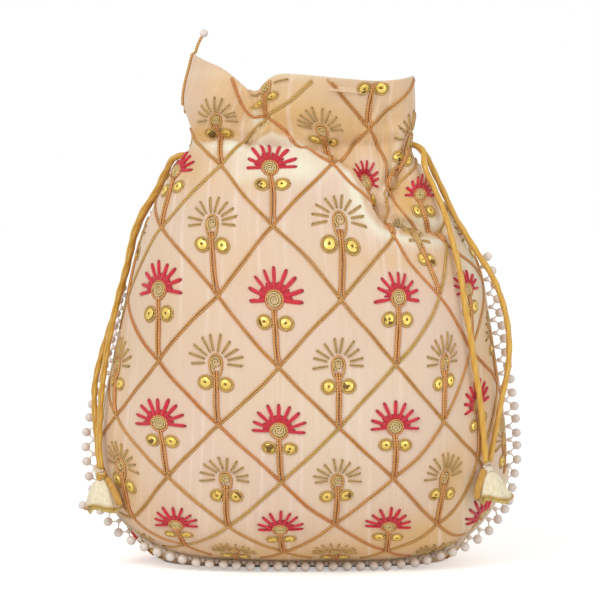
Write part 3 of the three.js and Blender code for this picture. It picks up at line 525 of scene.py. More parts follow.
def nearest(line, x, z):
    """How far a spot (x, z) is from a line, and on which side: left of the way it runs is above 0."""
    best = np.full(np.shape(x), np.inf)
    side = np.zeros(np.shape(x))
    for (x0, z0), (x1, z1) in zip(line[:-1], line[1:]):
        dx, dz = x1 - x0, z1 - z0
        k = np.clip(((x - x0) * dx + (z - z0) * dz) / (dx * dx + dz * dz), 0, 1)
        away = np.hypot(x - x0 - k * dx, z - z0 - k * dz)
        turn = np.where(dx * (z - z0) - dz * (x - x0) > 0, 1.0, -1.0)
        side = np.where(away < best, turn, side)
        best = np.minimum(away, best)
    return best, side


def beyond(line, x, z):
    """How far a spot (x, z) is to the left of the way a line runs; below 0 to the right of it."""
    away, left = nearest(line, x, z)
    return np.where(left < 0, -away, away)


def depth_of(folds, x, z):
    """How far folds push the cloth in at a spot."""
    return sum(depth * bell(nearest(line, x, z)[0], width) for line, width, depth in folds)


def cloth(side, turn, level, creased=True):
    """A point of the cloth. turn runs from -90 at the left seam to 90 at the right one."""
    turn, level = np.broadcast_arrays(np.asarray(turn, float), np.asarray(level, float))
    left, right, middle = LEFT_RAIL(level), RIGHT_RAIL(level), MIDDLE[side](level)
    angle = np.radians(turn)
    across = np.sin(angle)
    chord = left + (right - left) * ((1 + across) / 2)[..., None]
    bulge = np.maximum(0, np.cos(angle)) ** 0.85
    x = chord[..., 0]
    fade = 1 - np.abs(across) ** 6
    y = chord[..., 1] + (middle[..., 1] - (left[..., 1] + right[..., 1]) / 2) * bulge
    z = chord[..., 2] + (middle[..., 2] - (left[..., 2] + right[..., 2]) / 2) * (1 - np.abs(across) ** 5)
    if side == "front":
        z = z - HEM_DIP * fade * bell(x - DIP_AT, DIP_WIDE) * smooth(NECK, TOP, level)
    inward = (depth_of(WAVES[side], x, z) + (depth_of(FOLDS[side], x, z) if creased else 0)) * fade
    out = unit(np.stack([across / ((right - left)[..., 0] / 2),
                         SIGN[side] * np.cos(angle) / np.maximum(10, np.abs(middle[..., 1]))], -1))
    return np.stack([x - out[..., 0] * inward, y - out[..., 1] * inward, np.maximum(0, z)], -1)


NEXT_LEVEL, NEXT_TURN = 0.02, 0.5  # how far apart the points are that give the cloth's slope


def seam_out(turn, level):
    """The way out from a side seam."""
    line = LEFT_RAIL if turn < 0 else RIGHT_RAIL
    along = line(np.minimum(TOP, level + NEXT_LEVEL)) - line(np.maximum(0, level - NEXT_LEVEL))
    return -unit(np.cross(along, (0.0, math.copysign(1, turn), 0.0)))


def cloth_out(side, turn, level, creased=True):
    """The way out from the cloth."""
    turn, level = np.broadcast_arrays(np.asarray(turn, float), np.asarray(level, float))
    inner = np.clip(turn, -88.5, 88.5)
    along = (cloth(side, inner, np.minimum(TOP, level + NEXT_LEVEL), creased)
             - cloth(side, inner, np.maximum(0, level - NEXT_LEVEL), creased))
    across = cloth(side, inner + NEXT_TURN, level, creased) - cloth(side, inner - NEXT_TURN, level, creased)
    return unit(np.cross(across, along)) * -SIGN[side]


# How the cloth lies flat: how far up (t) and across (s) it is, in mm, for its levels and turns
HALF_PITCH, ROW_PITCH, FIRST_ROW = 25.65, 27.4, 4
AXIS = {"front": 2, "back": -3}
TURN_STEP, LEVEL_STEPS, BELLY = 3, 10, 40
TURNS = np.arange(-90, 91, TURN_STEP)
LEVELS = np.arange(0, TOP * LEVEL_STEPS + 1) / LEVEL_STEPS
NECK_EASE = 0.12  # how much narrower the gathered neck is than the cloth in it
# Where the front's pattern shows in the photograph, by row and column, in its pixels: the centres of
# the flowers where row and column are both even or both odd, and the lattice's crossings elsewhere
SEEN = {
    0: {-3: (184, 546), -1: (283, 552), 1: (386, 551)},
    1: {-4: (132, 517), -3: (176, 525), -2: (228, 526), -1: (280, 530), 0: (334, 524), 1: (388, 527),
        2: (437, 524), 3: (483, 514)},
    2: {-4: (122, 465), -3: (168, 477), -2: (225, 478), -1: (281, 482), 0: (337, 480), 1: (394, 479),
        2: (445, 477), 3: (478, 459)},
    3: {-4: (116, 415), -3: (160, 424), -2: (218, 426), -1: (279, 431), 0: (338, 428), 1: (395, 427),
        2: (445, 421), 3: (476, 405)},
    4: {-4: (118, 365), -3: (158, 361), -2: (217, 363), -1: (278, 367), 0: (339, 364), 1: (397, 365),
        2: (444, 362), 3: (471, 350)},
    5: {-3: (160, 290), -2: (217, 295), -1: (275, 300), 0: (340, 301), 1: (398, 298), 2: (439, 296),
        3: (468, 290)},
    6: {-3: (161, 227), -2: (212, 223), -1: (272, 226), 0: (340, 221), 1: (392, 239), 2: (415, 244),
        3: (445, 244)},
    7: {-3: (176, 172), -2: (221, 166), -1: (270, 169), 0: (333, 165), 1: (367, 182), 2: (388, 190),
        3: (418, 196)},
    8: {-2: (215, 120), -1: (264, 118), 0: (322, 131), 1: (368, 129), 2: (410, 142)},
    9: {-2: (226, 66), -1: (266, 88), 0: (320, 72), 1: (374, 67), 2: (424, 72)},
}
PHOTO_SIZE = 600
HOLD = 30.0  # how stiffly the cloth between those places keeps its shape
OUTER_COLUMN = 6.5  # the column, out of sight, at which the pattern isn't pulled aside


def lay_flat(side):
    """The s and t of each crossing of TURNS and LEVELS: s from the middle line of the side's pattern,
    t up from the bottom seam."""
    points = cloth(side, TURNS[None, :], LEVELS[:, None], creased=False)
    middle = len(TURNS) // 2
    across = np.concatenate([np.zeros((len(LEVELS), 1)),
                             np.cumsum(np.linalg.norm(np.diff(points, axis=1), axis=2), axis=1)], axis=1)
    across -= across[:, middle:middle + 1]
    step = np.linalg.norm(np.diff(points, axis=0), axis=2)
    up = np.zeros(across.shape)
    up[BELLY] = step[:BELLY, middle].sum()
    for i in range(BELLY, 0, -1):
        up[i - 1] = up[i] - step[i - 1]
    for i in range(BELLY + 1, len(LEVELS)):
        up[i] = up[i - 1] + step[i - 1, middle]
    tight = 1 - NECK_EASE * smooth(5, NECK, LEVELS)
    return across / tight[:, None] - AXIS[side], up


FLAT = {side: lay_flat(side) for side in SIGN}
NET_STEP = 2.0
S_GRID, T_GRID = np.arange(-140, 141, NET_STEP), np.arange(-60, 301, NET_STEP)
INSIDE = 1.001  # keeps a reading within the last mesh of a net


def read_between(net, u, v):
    """The value of a net at a spot that is u rows and v columns into it."""
    u, v = np.clip(u, 0, net.shape[0] - INSIDE), np.clip(v, 0, net.shape[1] - INSIDE)
    i, j = u.astype(int), v.astype(int)
    p, q = u - i, v - j
    return ((net[i, j] * (1 - q) + net[i, j + 1] * q) * (1 - p)
            + (net[i + 1, j] * (1 - q) + net[i + 1, j + 1] * q) * p)


def flat_spot(side, turn, level):
    """Where a point of the cloth is when it lies flat."""
    return [read_between(net, level * LEVEL_STEPS, (turn + 90) / TURN_STEP) for net in FLAT[side]]


def spread(side):
    """Where every crossing of a net on the flat cloth comes to lie: its turn and its level."""
    s_of, up_of = FLAT[side]
    s = np.repeat(S_GRID, len(T_GRID))
    up = np.tile(T_GRID, len(S_GRID))
    j = np.full(s.shape, (len(TURNS) - 1) / 2)
    for _ in range(14):
        j0 = np.clip(np.floor(j).astype(int), 0, len(TURNS) - 2)
        p = j - j0
        column = up_of[:, j0] * (1 - p) + up_of[:, j0 + 1] * p
        i0 = np.clip((column < up).sum(axis=0) - 1, 0, len(LEVELS) - 2)
        n = np.arange(len(s))
        i = i0 + (up - column[i0, n]) / np.maximum(column[i0 + 1, n] - column[i0, n], 1e-3)
        i = np.clip(i, -3, len(LEVELS) + 2)
        q = (i - i0)[:, None]
        row = s_of[i0] * (1 - q) + s_of[i0 + 1] * q
        k = np.clip((row < s[:, None]).sum(axis=1) - 1, 0, len(TURNS) - 2)
        aim = k + (s - row[n, k]) / np.maximum(row[n, k + 1] - row[n, k], 1e-3)
        j = np.clip(0.5 * j + 0.5 * aim, -3, len(TURNS) + 2)
    shape = (len(S_GRID), len(T_GRID))
    return (-90 + TURN_STEP * j).reshape(shape), (i / LEVEL_STEPS).reshape(shape)


NET = {side: spread(side) for side in SIGN}


def read_net(net, s, t):
    """The value of a net at spots of the flat cloth."""
    return read_between(net, (s - S_GRID[0]) / NET_STEP, (t - T_GRID[0]) / NET_STEP)


def in_picture(points):
    """The photograph's pixels in which points, in mm, show."""
    eye = np.array(AIM) / MM + DISTANCE / MM * np.array((0, -math.cos(ELEVATION), math.sin(ELEVATION)))
    away = points + np.array((0, FORWARD, 0)) - eye
    deep = away[..., 1] * math.cos(ELEVATION) - away[..., 2] * math.sin(ELEVATION)
    up = away[..., 1] * math.sin(ELEVATION) + away[..., 2] * math.cos(ELEVATION)
    size = PHOTO_SIZE * DISTANCE / WIDE
    return PHOTO_SIZE / 2 + size * away[..., 0] / deep, PHOTO_SIZE / 2 - size * up / deep


def bent(near, far):
    """Thin-plate distances between two sets of spots."""
    apart = ((near[:, None] - far[None]) ** 2).sum(axis=-1)
    return apart * np.log(apart + 1e-6)


def pulled():
    """The front's pattern, pulled so that it shows where the photograph has it: for a net of the
    pattern, where on the flat cloth it lies."""
    turns, levels = np.linspace(-88, 88, 353), np.linspace(0, TOP, 441)
    turn, level = np.meshgrid(turns, levels)
    across, down = in_picture(cloth("front", turn, level))
    s_of, up_of = flat_spot("front", turn, level)
    pattern, lies = [], []
    for row, columns in SEEN.items():
        ups = []
        for column, (px, py) in columns.items():
            hem = down[-1, np.abs(across[-1] - px).argmin()]
            above = max(0.0, hem - py)
            spot = np.unravel_index(((across - px) ** 2 + (down - max(py, hem)) ** 2).argmin(), across.shape)
            pattern.append(((column + 0.5) * HALF_PITCH, FIRST_ROW + row * ROW_PITCH))
            lies.append((s_of[spot], up_of[spot] + above * WIDE / PHOTO_SIZE / MM))
            ups.append(lies[-1][1])
        for column in (-OUTER_COLUMN, OUTER_COLUMN):
            pattern.append((column * HALF_PITCH, FIRST_ROW + row * ROW_PITCH))
            lies.append((column * HALF_PITCH, float(np.median(ups))))
    pattern, lies = np.array(pattern), np.array(lies)
    number = len(pattern)
    level_part = np.hstack([np.ones((number, 1)), pattern])
    system = np.zeros((number + 3, number + 3))
    system[:number, :number] = bent(pattern, pattern) + HOLD * np.eye(number)
    system[:number, number:], system[number:, :number] = level_part, level_part.T
    weights = np.linalg.solve(system, np.vstack([lies, np.zeros((3, 2))]))
    net = np.stack(np.meshgrid(S_GRID, T_GRID, indexing="ij"), -1).reshape(-1, 2)
    moved = bent(net, pattern) @ weights[:number] + weights[number] + net @ weights[number + 1:]
    return moved.reshape(len(S_GRID), len(T_GRID), 2)


PULLED = pulled()


def on_pattern(side, s, t):
    """The spot of the flat cloth at which a spot of the pattern lies."""
    if side == "back":
        return s, t
    return read_net(PULLED[..., 0], s, t), read_net(PULLED[..., 1], s, t)


def pattern_at(side, s, t):
    """The spot of the pattern that lies at a spot of the flat cloth."""
    u, v = s.copy(), t.copy()
    if side == "front":
        for _ in range(30):
            a, b = on_pattern(side, u, v)
            u, v = u + 0.6 * (s - a), v + 0.6 * (t - b)
    return u, v


SEAM_TURN, BASE_EDGE, HEM_EDGE, FLOOR_EDGE = 88, 0.3, 0.04, 1.2  # where the embroidery ends


def find(side, s, t):
    """The turn and level of spots of the pattern, and whether they are on the cloth."""
    s, t = on_pattern(side, s, t)
    turn, level = read_net(NET[side][0], s, t), read_net(NET[side][1], s, t)
    good = (np.abs(turn) < SEAM_TURN) & (level > BASE_EDGE) & (level < TOP - HEM_EDGE)
    return np.clip(turn, -89, 89), np.clip(level, 0, TOP), good


def grain(seed, size, count=7):
    """A soft unevenness with bumps of about that size in mm, from -1 to 1."""
    rng = np.random.default_rng(seed)
    ways = rng.uniform(0, 2 * np.pi, count)
    sizes = 2 * np.pi / (size * rng.uniform(1.6, 3.2, count))
    starts = rng.uniform(0, 2 * np.pi, count)

    def at(s, t):
        total = sum(np.sin((s * np.cos(w) + t * np.sin(w)) * k + p) for w, k, p in zip(ways, sizes, starts))
        return total / count * 1.6
    return at


SWELL, RUMPLE = grain(3, 22), grain(8, 9)
LATTICE_GAP = 18.7  # from a line of the lattice to the next, measured square to them
# Lines of the neck's folds on the front (x, z), in mm: the shoulder stands out below the first
NECK_CREASE = (
    (-52, 179), (-47, 179.5), (-40.7, 177.5), (-35.7, 177.5), (-27.7, 178), (-21.4, 175.5), (-16.8, 179.5),
    (-12.6, 182), (-5, 179.5), (3.4, 175), (13, 170), (20, 165.5), (24, 158), (27, 149), (32, 143.5),
    (40, 140.5), (50, 139), (64, 138))
PLEAT_EDGE = ((44, 186), (41.5, 175), (38, 163), (33, 152), (31, 147))
HEM_FOLD = ((-24, 216), (-22, 199), (-19, 190), (-18, 182))
RUFFLE_FOLD = ((20, 172), (26, 180), (31, 190), (34, 200), (37, 216))


def lattice_near(s, t):
    """How far, in mm, a spot of the flat cloth is from the nearest line of the lattice each way."""
    column, row = s / HALF_PITCH, (t - FIRST_ROW) / ROW_PITCH
    rising, falling = (column + 0.5 - row) / 2, (column + 0.5 + row) / 2
    return [np.abs(p - np.round(p)) * 2 * LATTICE_GAP for p in (rising, falling)]


def lapped(line, x, z, stands, lip, dips):
    """How far the cloth stands out along a fold's line, from pairs of how far and how wide: it
    stands out to the right of the line, and on the left a narrow lip drops to a dip."""
    away, left = nearest(line, x, z)
    return np.where(left < 0, stands[0] * bell(away, stands[1]),
                    lip[0] * bell(away, lip[1]) - dips[0] * bell(away, dips[1]))


def pleat_reach(z):
    """How much of the pleat at the neck's right there is at a height."""
    return smooth(146, 152, z) * (1 - smooth(180, 187, z))


# How far the cloth swells and rumples, sinks at the lattice's cords and puffs up between them, how
# deep and how wide its gathers are, and the height of the casing, in mm
STUFFED, CREASED, PUCKER, PUFF = 0.5, 0.25, 0.35, 0.18
GATHER, GATHER_PITCH, CASING = {"front": 0.35, "back": 1.1}, 12.5, 176


def relief(side, s, t, point):
    """How far the cloth stands out, in mm, beyond its loft: stuffing, puckers, gathers and folds."""
    x, z = point[..., 0], point[..., 2]
    high = smooth(125, 168, z)
    out = STUFFED * SWELL(s, t) + CREASED * RUMPLE(s, t) * (0.5 + high)
    for away in lattice_near(s, t):
        out = out - PUCKER * bell(away, 1.5) + PUFF * (1 - bell(away, 7))
    neck = bell(z - CASING, 13)
    pleats = np.sin(2 * np.pi * s / GATHER_PITCH + 1.6 * np.sin(s / 15) + 0.02 * (z - CASING))
    out = out + GATHER[side] * neck * pleats
    if side == "front":
        rim = smooth(-52, -44, x) * (1 - smooth(56, 66, x))
        deep = 1.5 + 0.9 * smooth(14, 24, x)
        out = out + rim * lapped(NECK_CREASE, x, z, (deep, 7), (2 * deep, 0.9), (deep, 8))
        out = out + pleat_reach(z) * lapped(PLEAT_EDGE, x, z, (1.6, 5), (1.6, 0.8), (2.2, 6))
        out = out + smooth(180, 184, z) * lapped(HEM_FOLD, x, z, (1.3, 5), (1.3, 1.2), (1.5, 5))
        away, left = nearest(RUFFLE_FOLD, x, z)
        step = np.where(left < 0, 0.9 * bell(away, 6), 0.9 - 1.8 * smooth(0, 2, away))
        out = out + smooth(172, 176, z) * step * bell(away, 8)
    return out * smooth(0, 14, z) * (1 - 0.9 * smooth(198, 206, z))


def surface(side, turn, level, s, t, height=0.0):
    """A point on the finished cloth, or a height above it, with the way out."""
    point = cloth(side, turn, level)
    out = cloth_out(side, turn, level)
    lift = relief(side, s, t, point) * (1 - np.abs(np.sin(np.radians(turn))) ** 8)
    return point + out * (lift + height)[..., None], out


def on_cloth(side, s, t, height=0.0):
    """Spots of the pattern, a height above the cloth, with the way out and whether they are on it."""
    s, t = np.asarray(s, float), np.asarray(t, float)
    turn, level, good = find(side, s, t)
    point, out = surface(side, turn, level, s, t, height + np.zeros(s.shape))
    good &= point[..., 2] > FLOOR_EDGE
    return point, out, good


# Painted light on the cloth: a golden tan of painted shade in its folds and on its underside, a painted
# highlight where it turns up to the light, and a brown painted shade in its deepest creases: (x, z, half
# width, half height, amount)
TINTS = {
    "painted_tan_shade": {"front": [
        (45, 153, 11, 12, 1.0), (36, 168, 5, 12, 0.6), (0, 4, 90, 11, 0.9), (-66, 26, 12, 10, 0.35),
        (52, 18, 26, 9, 0.6), (-30, 200, 18, 18, 0.55), (2, 189, 20, 10, 0.8), (24, 180, 12, 10, 0.7),
        (40, 190, 9, 16, 0.45), (-48, 166, 12, 10, 0.6), (-40, 181, 9, 7, 0.5), (-18, 190, 9, 5, 0.5),
        (8, 203, 30, 5, 0.35), (-80, 98, 6, 44, 0.95), (76, 96, 8, 44, 0.6), (62, 42, 7, 12, 0.75),
        (-74, 40, 7, 12, 0.7), (36, 130, 22, 5, 0.4), (62, 128, 10, 12, 0.45), (-24, 128, 12, 14, 0.25),
        (-50, 110, 14, 18, 0.15), (-19, 161, 12, 4, 0.45)],
        "back": [(0, 4, 90, 12, 0.6), (0, 176, 60, 7, 0.5), (-80, 90, 7, 60, 0.35), (80, 90, 7, 60, 0.35)]},
    "painted_highlight": {"front": [
        (-12, 170, 14, 8, 0.95), (-31, 176.5, 7, 2.2, 1.0), (-18, 187, 3.5, 3.5, 0.7), (2, 166, 8, 5, 0.6),
        (70, 122, 5, 26, 0.7), (54, 144, 14, 3.5, 0.8), (-26, 163, 5, 3, 0.3), (20, 152, 4, 9, 0.5),
        (76, 24, 10, 12, 0.5), (-2, 206, 50, 3, 0.3), (-84, 60, 5, 20, 0.3), (20, 70, 30, 26, 0.18)],
        "back": [(0, 150, 50, 10, 0.5), (0, 100, 40, 30, 0.2)]},
    "deep": {"front": [
        (-75, 38, 3.5, 8, 0.45), (41.5, 171, 1.5, 5, 0.9), (39, 162, 1.3, 5, 0.5), (-21, 177, 3, 1.3, 0.4)],
        "back": []},
}


def tinted(spots, x, z):
    """How much of a tint of painted shade or painted highlight each point of the cloth takes from its spots.
    """
    shares = (amount * bell(np.hypot((x - cx) / wide, (z - cz) / tall), 1)
              for cx, cz, wide, tall, amount in spots)
    return np.clip(sum(shares, np.zeros(x.shape)), 0, 1)


# How finely a panel is divided, and the hem that is turned in behind its edge, as (inward, down)
PANEL_COLUMNS, PANEL_ROWS = 233, 301
TURNED_IN = ((0.35, -0.25), (0.9, -0.1), (1.2, 0.5), (1.2, 2.5), (1.1, 5.5))


def panel(side):
    """One silk panel from the bottom seam to the hem, with the hem turned in."""
    turns = np.degrees(np.arcsin(np.linspace(-1, 1, PANEL_COLUMNS)))
    turns = 0.5 * turns + 0.5 * np.linspace(-90, 90, PANEL_COLUMNS)
    levels = np.linspace(0, TOP, PANEL_ROWS)
    turn, level = np.meshgrid(turns, levels)
    s, t = flat_spot(side, turn, level)
    points, out = surface(side, turn, level, *pattern_at(side, s, t))
    folded, laid = [points], [np.stack([s, t], -1)]
    for inward, down in TURNED_IN:
        folded.append((points[-1] - out[-1] * inward - np.array((0, 0, down)))[None])
        laid.append((laid[0][-1] + np.array((0, down)))[None])
    points, laid = np.concatenate(folded), np.concatenate(laid)
    bundle = Bundle()
    bundle.add(points, net_faces(*points.shape[:2], side == "back"), laid * MM)
    made = bundle.piece(f"silk_{side}", SILK, "silk", closed=False)
    x, z = points[..., 0].ravel(), points[..., 2].ravel()
    tints = {name: tinted(spots[side], x, z) for name, spots in TINTS.items()}
    if side == "front":
        # Along the neck's crease: a painted highlight on the lit lip below it, a tan painted shade above it,
        # and a brown painted shade in the crease itself
        above = beyond(NECK_CREASE, x, z)
        along = smooth(-52, -44, x) * (1 - smooth(50, 66, x))
        lit = (1 - smooth(-1.2, 0.8, above)) * bell(above + 1.5, 2.6)
        tints["painted_highlight"] += along * lit * (0.3 + 0.5 * smooth(10, 20, x))
        tints["painted_tan_shade"] += along * smooth(-0.8, 1.2, above) * bell(above, 5) * 0.6
        tints["deep"] += along * bell(above - 0.6, 1.4) * 0.22
        # Along the pleat's edge: a painted highlight on its lit side and a brown painted shade in its fold
        under = beyond(PLEAT_EDGE, x, z)
        along = pleat_reach(z)
        tints["painted_highlight"] += along * (1 - smooth(-1.2, 0.8, under)) * bell(under + 1.4, 2) * 0.35
        tints["deep"] += along * bell(under - 0.8, 1.4) * 0.35
    for name, values in tints.items():
        tint = made.data.attributes.new(name, "FLOAT", "POINT")
        tint.data.foreach_set("value", np.clip(values, 0, 1))
    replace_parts(made, f"{side}_panel")
    return made


panels = {side: panel(side) for side in SIGN}


# The lining, drawn in at the casing under the cords, with how far in it hangs from the cloth, in mm
CLOTH_WALL, FOLD_ROOM, CORD_ROOM = 1.0, 5.4, 0.3
CORD_INSET = CLOTH_WALL + FOLD_ROOM + CORD_ROOM + CORD_WIDE / 2
LINING_INSET, LINING_ROOM, HEM_INSET = 2.8, 2.2, 1.5
CASING_LOW = (5.6, 7.6)  # the levels between which the lining is drawn in
CRIMP, CRIMP_PITCH, CRIMP_AT = 0.7, 9.5, 178


def lining_point(side, turn, level, inset):
    """A point of the lining: an offset of the cloth below, and the cloth's ring shrunk at the casing."""
    point = cloth(side, turn, level, creased=False)
    left, right = LEFT_RAIL(level), RIGHT_RAIL(level)
    across = (1 + np.sin(np.radians(turn))) / 2
    seam = left + (right - left) * across[..., None]
    middle, half = (left[..., 0] + right[..., 0]) / 2, (right[..., 0] - left[..., 0]) / 2
    deep = np.abs(MIDDLE[side](level)[..., 1])
    shrunk = point.copy()
    shrunk[..., 0] = middle + (point[..., 0] - middle) * (1 - inset / half)
    shrunk[..., 1] = seam[..., 1] + (point[..., 1] - seam[..., 1]) * (1 - inset / deep)
    offset = point - cloth_out(side, turn, level, False) * inset[..., None]
    held = smooth(*CASING_LOW, level) * (1 - smooth(NECK + 0.6, TOP, level))
    return offset + (shrunk - offset) * held[..., None]


def lining():
    """The lining's two halves as one piece, crimped where the casing gathers it."""
    bundle = Bundle()
    turns, levels = np.linspace(-90, 90, 91), np.linspace(0.25, TOP, 110)
    turn, level = np.meshgrid(turns, levels)
    drawn = CORD_INSET + CORD_WIDE / 2 + LINING_ROOM - LINING_INSET
    below = LINING_INSET + drawn * smooth(*CASING_LOW, level)
    inset = below + (HEM_INSET - below) * smooth(NECK + 0.6, TOP, level)
    for side in SIGN:
        inner = np.clip(turn, -89, 89)
        points = lining_point(side, inner, level, inset)
        s, t = flat_spot(side, turn, level)
        waves = np.sin(2 * np.pi * s / CRIMP_PITCH + 1.3 * np.sin(s / 11))
        crimp = waves * bell(points[..., 2] - CRIMP_AT, 13) * CRIMP
        inward = cloth_out(side, inner, level, False) * crimp[..., None]
        points = points - inward * (1 - np.abs(inner[..., None] / 90) ** 6)
        points[..., 2] -= 1.6 * smooth(TOP - 0.25, TOP, level)
        bundle.add(points, net_faces(*points.shape[:2], side == "front"), np.stack([s, t], -1) * MM)
    made = bundle.piece("lining_bag", LINING, "lining", closed=False)
    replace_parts(made, "lining")
    return made


lining_bag = lining()


# Embroidery, worked on the flat cloth in mm (s across, t up) and laid on the panel
def runs(good):
    """The unbroken stretches of a line that are on the cloth."""
    stretches, start = [], None
    for i, yes in enumerate(list(good) + [False]):
        if yes and start is None:
            start = i
        if not yes and start is not None:
            if i - start > 2:
                stretches.append(slice(start, i))
            start = None
    return stretches


def couch(bundle, side, s, t, radius, height=None, sides=5, tone=0.0):
    """Lays a cord along a line on the cloth."""
    height = radius * 0.75 if height is None else height
    points, out, good = on_cloth(side, s, t, height)
    for part in runs(good):
        wound(bundle, points[part], out[part], radius, sides, tone)


def beside(s, t, off):
    """A line moved sideways by off."""
    ds, dt = np.gradient(s), np.gradient(t)
    size = np.maximum(np.hypot(ds, dt), 1e-6)
    return s + off * dt / size, t - off * ds / size


LATTICE_CORD = 0.4  # radius of each of the two cords
PLAIN_ABOVE, PLAIN_LEFT = 8.1, -1.5  # the row and column past which the ruffle's corner is plain


def lattice(side):
    """Both families of lines, each two twisted cords side by side. The ruffle's left corner is plain."""
    bundle = Bundle()
    wander = grain(21, 34)
    for lean, tone in ((1, 0.3), (-1, 0.75)):
        for line in range(-14, 15):
            row = np.arange(-0.5, 10.3, 0.075)
            s = (2 * line - 0.5 + lean * row) * HALF_PITCH
            t = FIRST_ROW + row * ROW_PITCH
            if side == "front":
                plain = (row > PLAIN_ABOVE) & (s / HALF_PITCH < PLAIN_LEFT)
                s, t, row = s[~plain], t[~plain], row[~plain]
            drift = wander(s + 40 * line, t + 90 * lean) * 0.5
            s = s + drift
            shade = tone + 0.3 * math.sin(line * 2.1 + lean)
            for off in (-LATTICE_CORD, LATTICE_CORD):
                jitter = 0.1 * np.sin(row * 11 + line + off)
                couch(bundle, side, *beside(s, t, off + jitter), LATTICE_CORD, tone=shade)
    made = bundle.piece(f"lattice_{side}", ZARI, "zari")
    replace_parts(made, f"zari_{side}")
    return made


def taken(obj):
    """An operator-made shape as plain points and faces, and the object put away."""
    mesh = obj.data
    points = np.zeros(len(mesh.vertices) * 3)
    mesh.vertices.foreach_get("co", points)
    faces = [list(p.vertices) for p in mesh.polygons]
    bpy.data.objects.remove(obj)
    return points.reshape(-1, 3), faces


def fresh():
    """Nothing selected, so that an operator works on the new shape alone."""
    bpy.ops.object.select_all(action="DESELECT")


def petal_shape():
    """A satin-stitch petal: a low rounded bar, blunt at the tip and narrower at the root."""
    fresh()
    bpy.ops.mesh.primitive_uv_sphere_add(segments=10, ring_count=7, radius=1, rotation=(0, math.pi / 2, 0))
    obj = bpy.context.object
    bpy.ops.object.transform_apply(location=False, rotation=True, scale=False)
    bpy.ops.object.mode_set(mode="EDIT")
    bpy.ops.mesh.select_all(action="SELECT")
    bpy.ops.mesh.bisect(plane_co=(0, 0, -0.35), plane_no=(0, 0, 1), clear_inner=True, use_fill=True)
    bpy.ops.object.mode_set(mode="OBJECT")
    points, faces = taken(obj)
    x = points[:, 0]
    square = np.sign(x) * np.abs(x) ** 0.7
    full = np.sqrt(np.maximum(0, 1 - np.abs(square) ** 5)) / np.sqrt(np.maximum(1e-3, 1 - x * x))
    full = np.where(np.abs(x) > 0.995, 0.0, np.minimum(full, 2.0))
    points[:, 1] *= full * (0.85 + 0.15 * square)
    points[:, 2] = np.where(points[:, 2] < -0.3, points[:, 2], points[:, 2] * np.minimum(full, 1.2))
    points[:, 0] = (square + 1) / 2
    return points, faces


SEQUIN_RADIUS = 2.15


def sequin_shape():
    """A cupped metal disc with a hole."""
    fresh()
    bpy.ops.mesh.primitive_circle_add(vertices=16, radius=SEQUIN_RADIUS, fill_type="NGON")
    obj = bpy.context.object
    bpy.ops.object.mode_set(mode="EDIT")
    bpy.ops.mesh.select_all(action="SELECT")
    for thick, depth in ((0.45, 0.0), (0.55, 0.22), (0.55, 0.12)):
        bpy.ops.mesh.inset(thickness=thick, depth=depth)
    bpy.ops.mesh.delete(type="ONLY_FACE")
    bpy.ops.object.mode_set(mode="OBJECT")
    bpy.ops.object.modifier_add(type="SOLIDIFY")
    obj.modifiers[-1].thickness = 0.25
    obj.modifiers[-1].offset = 0
    bpy.ops.object.modifier_apply(modifier=obj.modifiers[-1].name)
    return taken(obj)


def bead_shape(segments=14, rings=9):
    """A bead a little flatter than a ball, of radius 1."""
    fresh()
    bpy.ops.mesh.primitive_uv_sphere_add(segments=segments, ring_count=rings, radius=1)
    points, faces = taken(bpy.context.object)
    points[:, 2] *= 0.94
    return points, faces


PETAL = petal_shape()
DISC = sequin_shape()
BEAD = bead_shape()
SMALL_BEAD = bead_shape(8, 6)


def lay_shape(bundle, side, shape, s, t, heights, tone=0.0):
    """Lays a shape on the cloth, if all of it is on it."""
    points, _, good = on_cloth(side, s, t, heights)
    if good.all():
        bundle.add(points, shape[1], shape[0][:, :2], tone)


def lay_petal(bundle, side, s, t, angle, root, tip, wide, tall, aside=0.0):
    """A petal on the cloth, from root to tip mm from the flower's centre."""
    shape = PETAL[0]
    along = root + (tip - root) * shape[:, 0]
    across = wide * shape[:, 1] + aside
    lay_shape(bundle, side, PETAL, s + along * math.cos(angle) - across * math.sin(angle),
              t + along * math.sin(angle) + across * math.cos(angle), tall * (shape[:, 2] + 0.35))


RED_PETALS, GOLD_PETALS = 9, 10
FAN_SPAN, FAN_START = 188, -4  # degrees that a flower's petals take up, and where the first one is
STEM_CORD, STEM_APART, STEM_TOP, STEM_LONG = 0.58, 0.62, 3.4, ROW_PITCH - 4.2
FLOWER_ROWS, FLOWER_COLUMNS, HEM_ROW, HEM_COLUMNS = range(10), range(-6, 6), 9, (-1, 1)


def petals(bundle, side, s, t, is_red, rng):
    """A fan of petals: red ones with short stitches between them, gold ones each a pair of threads."""
    count = RED_PETALS if is_red else GOLD_PETALS
    gap = math.radians(FAN_SPAN / (count - 1))
    for k in range(count):
        angle = math.radians(FAN_START) + gap * k + math.radians(rng.uniform(-3, 3))
        tip = rng.uniform(11.0, 12.2) + 0.7 * math.sin(angle)
        if is_red:
            lay_petal(bundle, side, s, t, angle, rng.uniform(3.4, 3.9), tip, rng.uniform(0.82, 0.98), 0.8)
            if k < count - 1:
                for turned in (0.36, 0.64):
                    lay_petal(bundle, side, s, t, angle + gap * turned, 3.4, rng.uniform(6.2, 7.6), 0.5, 0.5)
        else:
            root = rng.uniform(4.2, 4.8)
            for twin in (-0.3, 0.3):
                lay_petal(bundle, side, s, t, angle, root, tip - rng.uniform(0, 0.8), 0.34, 0.6, twin)


